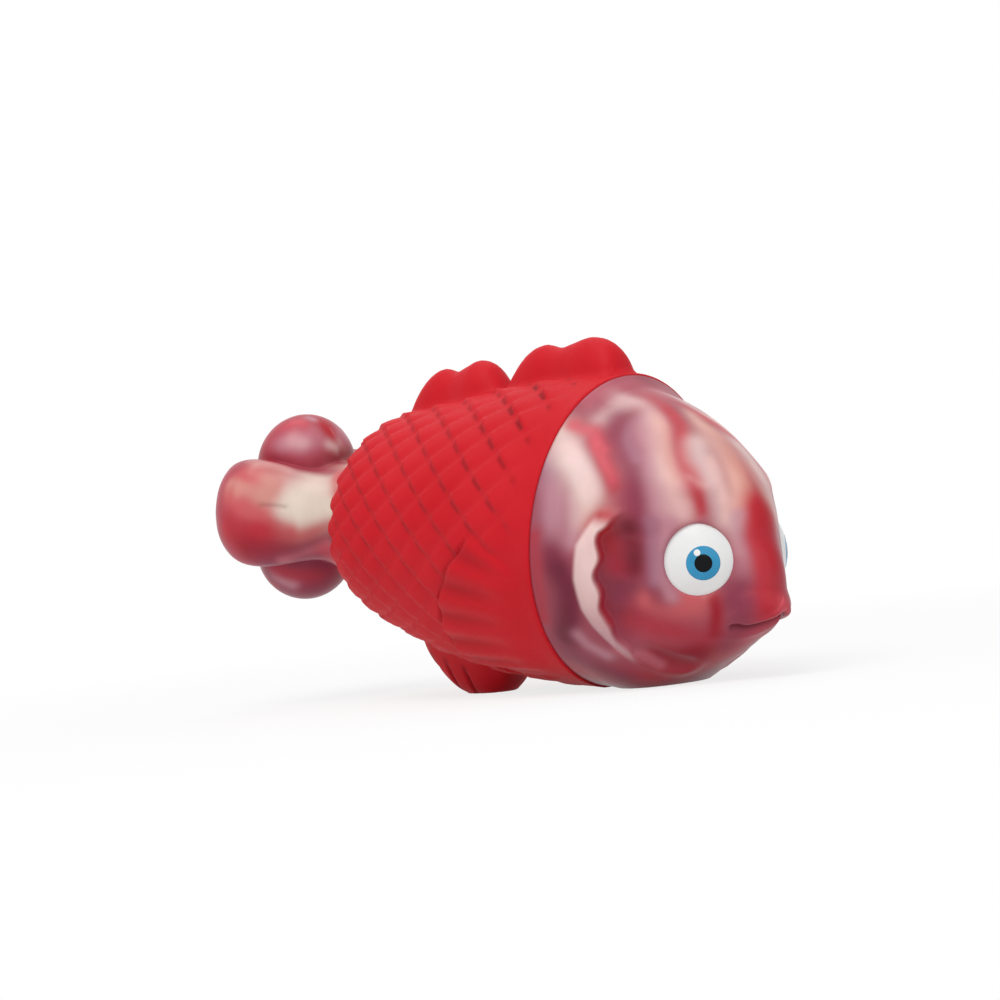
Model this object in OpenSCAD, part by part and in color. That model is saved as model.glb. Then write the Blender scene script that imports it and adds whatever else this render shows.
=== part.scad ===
// Squeaky bath toy: a soft fish with a marbled head and tail, a scaled body
// and a reed squeaker in its belly.
// Fish frame: +X to the lips, +Z up, origin at the centre of the neck ring.
// stance() tips the fish nose down until throat and belly fin stand on Z = 0.

/* [Head] */
// Length of the head, from the neck ring to the lips
head_len = 45.5; // [38:1:54]
// Drop of the lips below the centre of the neck ring
lip_drop = 8; // [6:0.5:13]
// How far the raised gill cover stands out of the cheek
gill_rise = 1.6; // [0.8:0.1:2.2]
// Depth of the mouth's groove
mouth_depth = 1.2; // [0.6:0.1:1.6]
// Length of the head's collar inside the body
collar_len = 5.5; // [4:0.5:7]

/* [Body] */
// Length of the scaled body, from the neck ring to the tail opening
body_len = 75; // [67:1:86]
// Height of the body at the neck ring
neck_h = 67; // [61:1:74]
// Width of the body at the neck ring
neck_w = 59.2; // [54:1:66]
// Height of the tail opening
rear_h = 35; // [31:1:39]
// Width of the tail opening
rear_w = 31; // [27:1:35]
// Drop of the tail opening's centre below the neck ring's centre
rear_drop = 6.4; // [4:0.2:9]
// Wall of all three shells
wall = 3; // [2.6:0.1:3.4]
// Step at the free edge of a scale
scale_rise = 0.9; // [0.4:0.1:1.2]
// How far the body's front edge stands proud of the head
lip_rise = 0.5; // [0.3:0.1:0.8]

/* [Fins] */
// Height of the front back fin
front_fin_h = 9.3; // [6:0.1:12]
// Height of the rear back fin
rear_fin_h = 9.3; // [6:0.1:12]
// Thickness of the back fins at their foot
back_fin_t = 11; // [8:0.5:14]
// Height of the belly fin
belly_fin_h = 10.5; // [8:0.5:13]
// Thickness of the belly fin at its foot
belly_fin_t = 13; // [10:0.5:16]
// Length of a side fin, back from the neck ring
side_fin_len = 31.5; // [27:0.5:36]
// How far a side fin's free edge stands out of the body
side_fin_rise = 2.2; // [1.2:0.1:3]

/* [Tail] */
// Distance from the tail opening to the middle of the tail lobes
tail_len = 24.5; // [22:0.5:30]
// Reach of the upper and lower lobes from the tail's axis
lobe_reach = 21.6; // [19:0.2:24]
// Reach of the side lobes from the tail's axis
side_lobe_reach = 24; // [20:0.2:26]
// Length of the lobes along the fish, as a share of their reach
lobe_len_share = 0.9; // [0.75:0.01:1]
// Length of the tail's plug inside the body
plug_len = 10; // [8:0.5:12]

/* [Eyes] */
// Width of the white of an eye
eye_w = 14.4; // [12:0.2:16.8]
// Height of the white of an eye
eye_h = 15.7; // [13:0.1:18]
// Radius of the dome of an eye
eye_dome_r = 13; // [12:0.5:18]
// How far the middle of the dome stands out of the head
eye_rise = 1.5; // [1.2:0.1:2.2]
// Diameter of the iris
iris_d = 7.4; // [6.4:0.1:8.4]
// Diameter of the pupil
pupil_d = 3.8; // [3:0.1:4.2]
// Thickness of the iris at its edge
inlay_t = 0.8; // [0.7:0.1:1]
// Diameter of the painted glint
glint_d = 1.1; // [0.8:0.1:1.2]

/* [Squeaker] */
// Distance of the squeaker behind the neck ring
squeaker_x = 17.5; // [16:0.5:19]
// Diameter of the squeaker's flange
flange_d = 18; // [17.8:0.1:19]
// Thickness of the flange
flange_t = 1.4; // [1.2:0.1:1.8]
// Outside diameter of the squeaker's barrel
barrel_d = 16; // [15.6:0.1:16.4]
// Length of the squeaker, from flange face to the top of its cap
barrel_len = 13; // [12.6:0.1:15]
// Wall of the barrel
barrel_t = 1.2; // [1:0.1:1.3]
// Depth of the flange's face below the belly's lowest line
seat_depth = 1.7; // [1.4:0.1:2]
// Diameter of the air hole in the flange
air_hole_d = 3.6; // [2.4:0.2:4.4]
// Length of the reed's free tongue
reed_len = 8; // [7:0.1:8.2]
// Width of the reed
reed_w = 3.4; // [2.8:0.1:3.6]
// Thickness of the reed
reed_t = 0.25; // [0.2:0.05:0.35]

/* [Hidden] */

fit_gap = 0.15;      // between pieces that are pushed together
rim_gap = 0.4;       // between the tail's neck and the body's rear rim
seam_gap = 0.1;      // between the head's shoulder and the body's front edge
overrun = 1;         // how far a cutting solid passes the face it cuts
sole_cut = 1.1;      // depth of the flat that the fish stands on
vinyl_red = [0.80, 0.13, 0.17];
marbled_pink = [0.72, 0.42, 0.45];
eye_cream = [0.93, 0.93, 0.92];
iris_blue = [0.28, 0.58, 0.78];
pupil_black = [0.03, 0.03, 0.04];
squeaker_white = [0.90, 0.90, 0.87];
reed_clear = [0.80, 0.84, 0.88];

// Scale lattice: scales round the body, half scale steps along it, and the
// steps over which the front scales rise to their full height.
scales_round = 22;
scale_levels = 14;
fade_levels = 4;
front_band_share = 0.035;
crowding_share = 0.2;
ring_n = 2 * scales_round;
head_rings = 24;
inner_rings = 16;

// Head outline by t from the neck ring (0) to the lips (1), where the station
// is sin(90 t) of head_len. Columns: t, share of lip_drop, then shares of the
// half height above, the half height below and the half width.
head_shares = [
  [0, 0, 1, 1, 1],
  [0.12, 0.06, 0.952, 0.972, 0.97],
  [0.24, 0.17, 0.873, 0.89, 0.855],
  [0.36, 0.34, 0.778, 0.73, 0.69],
  [0.48, 0.54, 0.655, 0.55, 0.515],
  [0.60, 0.74, 0.52, 0.375, 0.355],
  [0.73, 0.90, 0.36, 0.225, 0.225],
  [0.87, 0.985, 0.19, 0.115, 0.11],
  [1, 1, 0, 0, 0]
];
// Body outline from the neck ring (0) to the tail opening (1): station, share
// of rear_drop, and how far the section keeps the size of the neck ring.
body_shares = [
  [0, 0, 1],
  [0.16, 0.14, 0.975],
  [0.32, 0.34, 0.895],
  [0.48, 0.54, 0.78],
  [0.64, 0.70, 0.645],
  [0.80, 0.82, 0.485],
  [0.91, 0.90, 0.30],
  [1, 1, 0.01]
];
// Fin outlines: station along the fin from its rear end, share of the height,
// share of the thickness.
back_fin_shares = [
  [0, 0, 0.15], [0.07, 0.5, 0.6], [0.18, 0.87, 0.82], [0.31, 1, 0.88],
  [0.45, 0.86, 0.84], [0.56, 0.91, 0.9], [0.71, 1, 1], [0.86, 0.86, 0.96],
  [0.96, 0.48, 0.76], [1, 0, 0.2]
];
belly_fin_shares = [
  [0, 0, 0.15], [0.16, 0.50, 0.75], [0.36, 0.90, 0.95], [0.55, 1, 1],
  [0.74, 0.94, 1], [0.90, 0.58, 0.8], [1, 0, 0.2]
];
// Rear and front end of each fin, as shares of body_len behind the neck ring.
front_fin_ends_share = [0.47, 0.012];
rear_fin_ends_share = [0.86, 0.46];
belly_fin_ends_share = [0.80, 0.36];
foot_share = 0.55;   // where along its length the belly fin is highest
fin_rings = 20;
fin_n = 20;
fin_sink = 1.4;      // a fin's widest line below the body's surface
fin_root = 1;        // and its lowest line below that

// A side fin, across from its top edge (0) to its bottom edge (1): the free
// edge's share of the fin's length, its angle, and the root's angle.
side_fin_shares = [
  [0, 0.56, 178, 192],
  [0.25, 0.87, 197, 204],
  [0.5, 1, 217, 217],
  [0.75, 0.96, 236, 230],
  [1, 0.64, 249, 243]
];
side_fin_start = 3;
side_fin_ribs = 7;
side_fin_steps = 8;
rib_steps = 4;
rib_share = 0.4;     // share of the rise that is lost between two ribs
side_root_share = 0.3;
edge_share = 0.45;   // height of the fin's top and bottom edges

// The gill cover: its middle and half its width by t, its angles and its lean.
gill_share = 0.27;
gill_width_share = 0.085;
gill_angles = [172, 238];
gill_lean_share = 0.1;
// The mouth's groove runs forward from this t along one line of the mesh.
mouth_share = 0.5;
mouth_angle = 360 / ring_n * (scales_round + 4);
mouth_half_angle = 12;
// Where the throat touches the floor.
throat_share = 0.2;

// The tail: a lobe's reach by the angle from its axis, and the mesh.
lobe_shares = [
  [0, 1], [12, 0.995], [22, 0.975], [30, 0.94], [36, 0.87], [41, 0.755], [46, 0.615],
  [60, 0.48], [90, 0.43]
];
tail_rings = 20;
neck_rings = 4;
tail_end_angle = 130;
neck_lip = 1;        // straight neck behind the tips of the last scales
tail_lean_share = 0.08;

// Eyes: their place on the head by t and angle, the places of iris and glint
// as shares of the white's size, and a thicker pad behind each socket.
eye_station_share = 0.51;
eye_angle = 166.5;
iris_place_share = [0.085, -0.055];
glint_place_share = [-0.02, 0.108];
eye_egg_share = 0.05;
eye_points = 72;
eye_seat = 2.7;      // depth of an eye's socket
eye_bed = 0.05;      // glue under an eye
eye_pad = 2;
eye_pad_share = 0.3;
eye_pad_angle = 60;
inlay_gap = 0.03;
pupil_t_share = 0.6;
glint_t_share = 0.4;
inlay_stand = 0.04;  // how far each painted layer stands over the last

// The squeaker's seat in the belly and its inner parts.
pad_rise = 2.4;
pad_half_angle = 40;
boss_t = 2.6;
boss_h = 5;
// The collar stops short of the boss, and the pad starts behind the collar.
collar_end = min(collar_len, squeaker_x - barrel_d / 2 - boss_t - 3 * fit_gap);
pad_half_x = squeaker_x - collar_end - 4 * fit_gap;
bead_h = 0.9;
bead_rise = 0.5;
ledge_z = 4.2;
ledge_t = 1;
ledge_w = 1;
plate_t = 2;
hinge_x = 4;         // the reed bends this far from the squeaker's axis
clamp_ends = [5.7, 3.7];
clamp_w = 6.2;
clamp_t = 1;
reed_root = 1.3;
reed_gap = 0.35;     // play round the reed's root
slot_gap = 0.4;      // play round the tongue in its slot
cap_rim_t = 1;
cap_spigot = 1.4;
cap_hole_d = 1.8;
cap_holes = 4;
cap_hole_r = 4;

// One row of a table at s, through its rows by smooth cubics.
function span_at(table, s, i = 0) =
  i >= len(table) - 2 || s <= table[i + 1][0] ? i : span_at(table, s, i + 1);
function slope_at(table, i) =
  let (a = max(i - 1, 0), b = min(i + 1, len(table) - 1))
  (table[b] - table[a]) / (table[b][0] - table[a][0]);
function curve_at(table, s) =
  let (i = span_at(table, s), h = table[i + 1][0] - table[i][0],
       u = (s - table[i][0]) / h, u2 = pow(u, 2), u3 = pow(u, 3))
  (2 * u3 - 3 * u2 + 1) * table[i] + (u3 - 2 * u2 + u) * h * slope_at(table, i)
  + (3 * u2 - 2 * u3) * table[i + 1] + (u3 - u2) * h * slope_at(table, i + 1);
function bump(v, mid, half) =
  abs(v - mid) >= half ? 0 : (1 + cos(180 * (v - mid) / half)) / 2;
function angles(n) = [for (k = [0 : n - 1]) 360 * k / n];
// Angles on the left side read as their mirror image on the right.
function folded(a) = a > 270 ? 540 - a : a < 90 ? 180 - a : a;

// A section point from the centre height, the half heights above and below
// and the half width, moved out.
function section_point(x, mid, up, down, half_w, a, out) =
  let (h = sin(a) > 0 ? up : down)
  [x, (half_w + out) * cos(a), mid + (h + out) * sin(a)];

// The body's surface at a station x, from 0 back to -body_len.
function body_keep(x) = curve_at(body_shares, -x / body_len)[2];
function body_mid(x) = -rear_drop * curve_at(body_shares, -x / body_len)[1];
function body_half_h(x) = rear_h / 2 + (neck_h - rear_h) / 2 * body_keep(x);
function body_half_w(x) = rear_w / 2 + (neck_w - rear_w) / 2 * body_keep(x);
function body_point(x, a, out = 0) =
  section_point(x, body_mid(x), body_half_h(x), body_half_h(x), body_half_w(x), a, out);
function belly_pad(x, a) =
  pad_rise * bump(x, -squeaker_x, pad_half_x) * bump(a, 270, pad_half_angle);

// The head's surface by t, shrunk by an inset that also shortens the head.
function gill_out(t, b) =
  let (mid = (gill_angles[0] + gill_angles[1]) / 2,
       half = (gill_angles[1] - gill_angles[0]) / 2)
  gill_rise * bump(t, gill_share + gill_lean_share * pow((b - mid) / half, 2), gill_width_share)
  * bump(b, mid, 1.3 * half);
function mouth_out(t, b) =
  -mouth_depth * bump(b, mouth_angle, mouth_half_angle) * min(1, max(0, (t - mouth_share) * 12));
function head_point(t, a, inset = 0, out = 0) =
  let (row = curve_at(head_shares, t), keep = 1 - inset / (neck_w / 2))
  section_point((head_len - inset) * sin(90 * t), -lip_drop * row[1],
    neck_h / 2 * row[2] * keep, neck_h / 2 * row[3] * keep,
    neck_w / 2 * row[4] * keep, a, out);
function inner_inset(t) = wall + (wall + fit_gap) * max(0, 1 - t * 6);
function pad_in(t, b) =
  -eye_pad * bump(t, eye_station_share, eye_pad_share) * bump(b, eye_angle, eye_pad_angle);

// A closed skin over rings of equal count, front to back outside. A ring of
// one point closes an end; loop joins the last ring to the first.
function ring_faces(i, j, n) =
  [for (k = [0 : n - 1]) let (m = (k + 1) % n)
    each [[i + k, i + m, j + k], [i + m, j + m, j + k]]];
module skin(rings, loop = false) {
  n = len(rings[1]);
  starts = [for (i = 0, s = 0; i < len(rings); s = s + len(rings[i]), i = i + 1) s];
  last = len(rings) - 1;
  faces = [
    for (i = [0 : last - 1])
      each len(rings[i]) == 1
        ? [for (k = [0 : n - 1]) [starts[i], starts[i + 1] + (k + 1) % n, starts[i + 1] + k]]
        : len(rings[i + 1]) == 1
          ? [for (k = [0 : n - 1]) [starts[i] + k, starts[i] + (k + 1) % n, starts[i + 1]]]
          : ring_faces(starts[i], starts[i + 1], n),
    if (loop) each ring_faces(starts[last], starts[0], n)
  ];
  polyhedron([for (r = rings) each r], faces);
}

// From the fish frame to the floor: the line from the belly fin's foot to the
// throat becomes the floor, and the throat's flat is centred on the origin.
foot_x = -body_len * (belly_fin_ends_share[0]
  + foot_share * (belly_fin_ends_share[1] - belly_fin_ends_share[0]));
foot_point = [foot_x, 0, body_mid(foot_x) - body_half_h(foot_x) + fin_sink - belly_fin_h - lip_rise];
throat_point = head_point(throat_share, 270);
stance_pitch = atan((throat_point[2] - foot_point[2]) / (throat_point[0] - foot_point[0]));
module stance() {
  translate([0, 0, -sole_cut])
    rotate([0, stance_pitch, 0])
      translate(-throat_point)
        children();
}
module floor_block() {
  span = head_len + body_len + 2 * tail_len;
  translate([-span, -neck_w, -neck_h]) cube([2 * span, 2 * neck_w, neck_h]);
}

// Head: outer skin from the lips to the neck ring, collar into the body, and
// the inner skin back to the lips.
module head_form() {
  function outer(t) = [for (a = angles(ring_n)) let (b = folded(a))
    head_point(t, a, 0, gill_out(t, b) + mouth_out(t, b))];
  function inner(t) = [for (a = angles(ring_n))
    head_point(t, a, inner_inset(t), pad_in(t, folded(a)))];
  function collar(x, out) = [for (a = angles(ring_n)) body_point(x, a, out)];
  skin([
    [head_point(1, 0)],
    for (i = [1 : head_rings]) outer(1 - i / head_rings),
    for (x = [0, -collar_end / 2, -collar_end]) collar(x, -wall - fit_gap),
    for (x = [-collar_end, -collar_end / 2]) collar(x, -2 * wall - fit_gap),
    for (i = [0 : inner_rings - 1]) inner(i / inner_rings),
    [head_point(1, 0, wall)]
  ]);
}
module head_shell() {
  color(marbled_pink) difference() {
    stance() difference() {
      head_form();
      on_both_eyes() eye_prism(-eye_seat, eye_rise + overrun, fit_gap);
    }
    floor_block();
  }
}

// Body: diamond scales over a smooth inner skin. A scale lies on its front
// corner, half up at its sides and full up at its rear corner, so that each
// corner of the lattice has three heights. The last row's tips are the rim.
function level_x(k) =
  let (s = k / scale_levels)
  -body_len * (front_band_share
    + (1 - front_band_share) * ((1 + crowding_share) * s - crowding_share * s * s));
function rim_x(q) = level_x(scale_levels - (q + scale_levels) % 2);
function level_rise(k) = scale_rise * min(1, k / fade_levels);
module body_form() {
  top = scale_levels;
  // Points of the lattice by level k, half step q round the body and height c.
  lattice = [for (k = [0 : top]) for (q = [0 : ring_n - 1]) for (c = [0 : 2])
    body_point(level_x(k), 360 * q / ring_n, lip_rise + level_rise(k) * c / 2)];
  function at(k, q, c) = 3 * (k * ring_n + (q + ring_n) % ring_n) + (k == 0 ? 0 : c);
  function smooth_ring(x, out) =
    [for (a = angles(ring_n)) body_point(x, a, out - (out < 0 ? belly_pad(x, a) : 0))];
  smooth = [
    [for (q = [0 : ring_n - 1]) body_point(rim_x(q), 360 * q / ring_n, -wall)],
    for (i = [1 : inner_rings - 1])
      smooth_ring(level_x(top - 1) * (1 - i / inner_rings), -wall),
    smooth_ring(-seam_gap, -wall),
    smooth_ring(-seam_gap, lip_rise)
  ];
  base = len(lattice);
  function ring(i, q) = base + i * ring_n + q % ring_n;
  function rim(q) = q % 2 == top % 2 ? at(top, q, 2) : at(top - 1, q, 1);
  last = len(smooth) - 1;
  faces = [
    for (q = [0 : ring_n - 1])
      each [[ring(last, q), ring(last, q + 1), at(0, q, 0)],
            [ring(last, q + 1), at(0, q + 1, 0), at(0, q, 0)],
            [rim(q), rim((q + 1) % ring_n), ring(0, q)],
            [rim((q + 1) % ring_n), ring(0, q + 1), ring(0, q)]],
    for (i = [0 : last - 1]) each ring_faces(base + i * ring_n, base + (i + 1) * ring_n, ring_n),
    // Half scales at the front: two faces and the two steps behind them
    for (q = [1 : 2 : ring_n - 1])
      each [[at(0, q, 0), at(0, q + 1, 0), at(1, q, 2)],
            [at(0, q, 0), at(1, q, 2), at(0, q - 1, 0)],
            [at(1, q, 2), at(0, q + 1, 0), at(1, q, 1)],
            [at(0, q - 1, 0), at(1, q, 2), at(1, q, 1)]],
    for (k = [1 : top - 1]) for (q = [(k + 1) % 2 : 2 : ring_n - 1])
      each [[at(k - 1, q, 0), at(k, q + 1, 1), at(k + 1, q, 2)],
            [at(k - 1, q, 0), at(k + 1, q, 2), at(k, q - 1, 1)]],
    for (k = [1 : top - 2]) for (q = [(k + 1) % 2 : 2 : ring_n - 1])
      each [[at(k + 1, q, 2), at(k, q + 1, 1), at(k, q + 1, 0)],
            [at(k + 1, q, 2), at(k, q + 1, 0), at(k + 1, q, 1)],
            [at(k, q - 1, 1), at(k + 1, q, 2), at(k + 1, q, 1)],
            [at(k, q - 1, 1), at(k + 1, q, 1), at(k, q - 1, 0)]]
  ];
  polyhedron(concat(lattice, [for (r = smooth) each r]), faces);
}

// A fin on the centre line, above the body (side 1) or below it (side -1).
module centre_fin(shares, ends, height, thick, side) {
  function fin_x(s) = -body_len * (ends[0] + s * (ends[1] - ends[0]));
  function fin_z(x) = body_mid(x) + side * (body_half_h(x) + lip_rise - fin_sink);
  rings = [for (i = [0 : fin_rings])
    let (s = 1 - i / fin_rings, x = fin_x(s), row = curve_at(shares, s),
         h = max(0, row[1]) * height, half = row[2] * thick / 2)
    i == 0 || i == fin_rings
      ? [[x, 0, fin_z(x)]]
      : [for (a = angles(fin_n))
          section_point(x, fin_z(x), side > 0 ? h : fin_root, side > 0 ? fin_root : h, half, a, 0)]];
  skin(rings);
}

// A fan shaped side fin on the right flank, ribbed from root to free edge.
module side_fin() {
  rows = side_fin_ribs * rib_steps;
  function edge_rise(v) = edge_share + (1 - edge_share) * min(1, 6 * min(v, 1 - v));
  function rib(v) = 1 - rib_share * (1 - cos(360 * side_fin_ribs * v)) / 2;
  function fan_point(u, v, out) =
    let (row = curve_at(side_fin_shares, v))
    body_point(-side_fin_start - u * (side_fin_len * row[1] - side_fin_start),
      row[3] + u * (row[2] - row[3]), lip_rise + out);
  rings = [for (i = [0 : rows]) let (v = 1 - i / rows)
    [for (j = [0 : side_fin_steps]) let (u = j / side_fin_steps)
       fan_point(u, v, side_fin_rise * edge_rise(v) * rib(v)
         * (side_root_share + (1 - side_root_share) * u)),
     for (j = [0 : side_fin_steps])
       fan_point(1 - j / side_fin_steps, v, -lip_rise - wall / 2)]];
  function middle(r) = [for (c = [0 : 2]) [for (p = r) p[c]] * [for (p = r) 1] / len(r)];
  skin([[middle(rings[0])], each rings, [middle(rings[rows])]]);
}
module body_shell() {
  bore_d = barrel_d + 2 * fit_gap;
  color(vinyl_red) difference() {
    stance() difference() {
      union() {
        body_form();
        centre_fin(back_fin_shares, front_fin_ends_share, front_fin_h, back_fin_t, 1);
        centre_fin(back_fin_shares, rear_fin_ends_share, rear_fin_h, back_fin_t, 1);
        centre_fin(belly_fin_shares, belly_fin_ends_share, belly_fin_h, belly_fin_t, -1);
        side_fin();
        mirror([0, 1, 0]) side_fin();
        in_belly() translate([0, 0, flange_t])
          cylinder(d = bore_d + 2 * boss_t, h = boss_h, $fn = 96);
      }
      in_belly() translate([0, 0, -neck_h])
        cylinder(d = flange_d + 2 * fit_gap, h = neck_h + flange_t, $fn = 96);
      in_belly() cylinder(d = bore_d, h = flange_t + boss_h + overrun, $fn = 96);
    }
    floor_block();
  }
}

// Tail: four round lobes, a neck that fills the body's rear opening, and a
// plug inside it. All are one skin, drawn out from the middle of the lobes.
function lobe_r(d, reach) = reach * curve_at(lobe_shares, acos(min(1, abs(d))))[1];
function tail_point(polar, a, inset) =
  let (dir = [-cos(polar), sin(polar) * cos(a), sin(polar) * sin(a)],
       r = max(lobe_r(dir[2], lobe_reach), lobe_r(dir[1], side_lobe_reach)) - inset)
  [-body_len - tail_len + r * (lobe_len_share * dir[0] - tail_lean_share * dir[2]),
    dir[1] * r, -rear_drop + dir[2] * r];
function neck_point(u, a, inset) =
  let (p = tail_point(tail_end_angle, a, inset),
       q = body_point(-body_len, a, -wall - fit_gap - inset) - [neck_lip, 0, 0],
       w = u * u * (3 - 2 * u))
  [p[0] + u * (q[0] - p[0]), p[1] + w * (q[1] - p[1]), p[2] + w * (q[2] - p[2])];
module tail_form() {
  function lobes(i, inset) =
    [for (a = angles(ring_n)) tail_point(tail_end_angle * i / tail_rings, a, inset)];
  function neck(i, inset) = [for (a = angles(ring_n)) neck_point(i / neck_rings, a, inset)];
  function plug(x, inset) =
    [for (a = angles(ring_n)) body_point(x, a, -wall - fit_gap - inset)];
  function under_rim(inset) = [for (q = [0 : ring_n - 1])
    body_point(rim_x(q), 360 * q / ring_n, -wall - rim_gap - inset)];
  plug_x = [level_x(scale_levels - 1) + plug_len, level_x(scale_levels - 1) * (1 - 1 / inner_rings)];
  skin([
    [tail_point(0, 0, wall)],
    for (i = [1 : tail_rings]) lobes(i, wall),
    for (i = [1 : neck_rings]) neck(i, wall),
    under_rim(wall),
    plug(plug_x[1], wall),
    plug(plug_x[0], wall),
    plug(plug_x[0], 0),
    plug(plug_x[1], 0),
    under_rim(0),
    for (i = [0 : neck_rings - 1]) neck(neck_rings - i, 0),
    for (i = [0 : tail_rings - 1]) lobes(tail_rings - i, 0),
    [tail_point(0, 0, 0)]
  ]);
}
module tail_shell() {
  color(marbled_pink) stance() tail_form();
}

// Eye frame: Z out of the head, X forward, Y up, on the head's surface.
eye_spot = head_point(eye_station_share, eye_angle);
eye_along = head_point(eye_station_share + 0.02, eye_angle)
  - head_point(eye_station_share - 0.02, eye_angle);
eye_round = head_point(eye_station_share, eye_angle - 2) - head_point(eye_station_share, eye_angle + 2);
eye_normal = cross(eye_along, eye_round) / norm(cross(eye_along, eye_round));
eye_level = cross([0, 0, 1], eye_normal) / norm(cross([0, 0, 1], eye_normal));
eye_up = cross(eye_normal, eye_level);
module on_right_eye() {
  multmatrix([for (i = [0 : 2]) [eye_level[i], eye_up[i], eye_normal[i], eye_spot[i]]])
    children();
}
module on_both_eyes() {
  on_right_eye() children();
  mirror([0, 1, 0]) on_right_eye() children();
}
module eye_prism(low, high, out) {
  outline = [for (a = angles(eye_points))
    [(eye_w / 2 * (1 - eye_egg_share * sin(a)) + out) * cos(a), (eye_h / 2 + out) * sin(a)]];
  translate([0, 0, low]) linear_extrude(height = high - low) polygon(outline);
}
// A round layer on the dome at a place, and the pocket that takes it.
module on_dome(place) {
  translate([0, 0, eye_rise - eye_dome_r])
    rotate([-asin(place[1] / eye_dome_r), asin(place[0] / eye_dome_r), 0])
      children();
}
function flat_at(d, thick) = sqrt(pow(eye_dome_r, 2) - pow(d / 2, 2)) - thick;
module layer(d, thick, stand) {
  intersection() {
    sphere(r = eye_dome_r + stand, $fn = 96);
    translate([0, 0, flat_at(d, thick)]) cylinder(d = d, h = eye_dome_r, $fn = 72);
  }
}
module pocket(d, thick) {
  translate([0, 0, flat_at(d, thick) - inlay_gap])
    cylinder(d = d + 2 * inlay_gap, h = eye_dome_r, $fn = 72);
}
iris_place = [iris_place_share[0] * eye_w, iris_place_share[1] * eye_h];
glint_place = [glint_place_share[0] * eye_w, glint_place_share[1] * eye_h];
pupil_t = inlay_t * pupil_t_share;
glint_t = inlay_t * glint_t_share;
module eye_white() {
  difference() {
    intersection() {
      eye_prism(-eye_seat + eye_bed, eye_rise + overrun, 0);
      translate([0, 0, eye_rise - eye_dome_r]) sphere(r = eye_dome_r, $fn = 96);
    }
    on_dome(iris_place) pocket(iris_d, inlay_t);
  }
}
module iris() {
  difference() {
    on_dome(iris_place) layer(iris_d, inlay_t, inlay_stand);
    on_dome(iris_place) pocket(pupil_d, pupil_t);
    on_dome(glint_place) pocket(glint_d, glint_t);
  }
}
module right_eye_white() {
  color(eye_cream) stance() on_right_eye() eye_white();
}
module right_iris() {
  color(iris_blue) stance() on_right_eye() iris();
}
module right_pupil() {
  color(pupil_black) stance() on_right_eye()
    on_dome(iris_place) layer(pupil_d, pupil_t, 2 * inlay_stand);
}
module right_glint() {
  color(eye_cream) stance() on_right_eye()
    on_dome(glint_place) layer(glint_d, glint_t, 2 * inlay_stand);
}
module left_eye_white() {
  color(eye_cream) stance() mirror([0, 1, 0]) on_right_eye() eye_white();
}
module left_iris() {
  color(iris_blue) stance() mirror([0, 1, 0]) on_right_eye() iris();
}
module left_pupil() {
  color(pupil_black) stance() mirror([0, 1, 0]) on_right_eye()
    on_dome(iris_place) layer(pupil_d, pupil_t, 2 * inlay_stand);
}
module left_glint() {
  color(eye_cream) stance() mirror([0, 1, 0]) on_right_eye()
    on_dome(glint_place) layer(glint_d, glint_t, 2 * inlay_stand);
}

// Squeaker frame: Z into the fish, Z = 0 at the flange's outer face.
module in_belly() {
  bottom = body_mid(-squeaker_x) - body_half_h(-squeaker_x) - lip_rise;
  translate([-squeaker_x, 0, bottom + seat_depth]) children();
}
inner_d = barrel_d - 2 * barrel_t;
cap_z = barrel_len - cap_rim_t;
module squeaker_cup() {
  color(squeaker_white) stance() in_belly() {
    difference() {
      union() {
        cylinder(d = flange_d, h = flange_t, $fn = 96);
        cylinder(d = barrel_d, h = cap_z, $fn = 96);
        translate([0, 0, flange_t + boss_h + fit_gap])
          cylinder(d = barrel_d + 2 * (fit_gap + bead_rise), h = bead_h, $fn = 96);
      }
      translate([0, 0, ledge_z]) cylinder(d = inner_d, h = barrel_len, $fn = 96);
      translate([0, 0, flange_t]) cylinder(d = inner_d, h = ledge_z - ledge_t - flange_t, $fn = 96);
      translate([0, 0, flange_t]) cylinder(d = inner_d - 2 * ledge_w, h = barrel_len, $fn = 96);
      translate([0, 0, -overrun])
        cylinder(d = air_hole_d, h = flange_t + 2 * overrun, $fn = 48);
    }
  }
}
plate_top = ledge_z + fit_gap + plate_t;
reed_low = plate_top + reed_gap;
module reed_plate() {
  slot_w = reed_w + 2 * slot_gap;
  color(squeaker_white) stance() in_belly() difference() {
    translate([0, 0, ledge_z + fit_gap])
      cylinder(d = inner_d - 2 * fit_gap, h = plate_t, $fn = 96);
    translate([-hinge_x + slot_gap, -slot_w / 2, 0])
      cube([reed_len, slot_w, barrel_len]);
  }
}
module reed() {
  color(reed_clear) stance() in_belly()
    translate([-hinge_x - reed_root, -reed_w / 2, reed_low])
      cube([reed_root + reed_len, reed_w, reed_t]);
}
module reed_clamp() {
  notch_w = reed_w + 2 * reed_gap;
  notch_h = 2 * reed_gap + reed_t;
  color(squeaker_white) stance() in_belly()
    translate([-clamp_ends[0], 0, plate_top]) difference() {
      translate([0, -clamp_w / 2, 0])
        cube([clamp_ends[0] - clamp_ends[1], clamp_w, notch_h + clamp_t]);
      translate([-overrun, -notch_w / 2, -overrun])
        cube([clamp_ends[0] + 2 * overrun, notch_w, overrun + notch_h]);
    }
}
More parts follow.
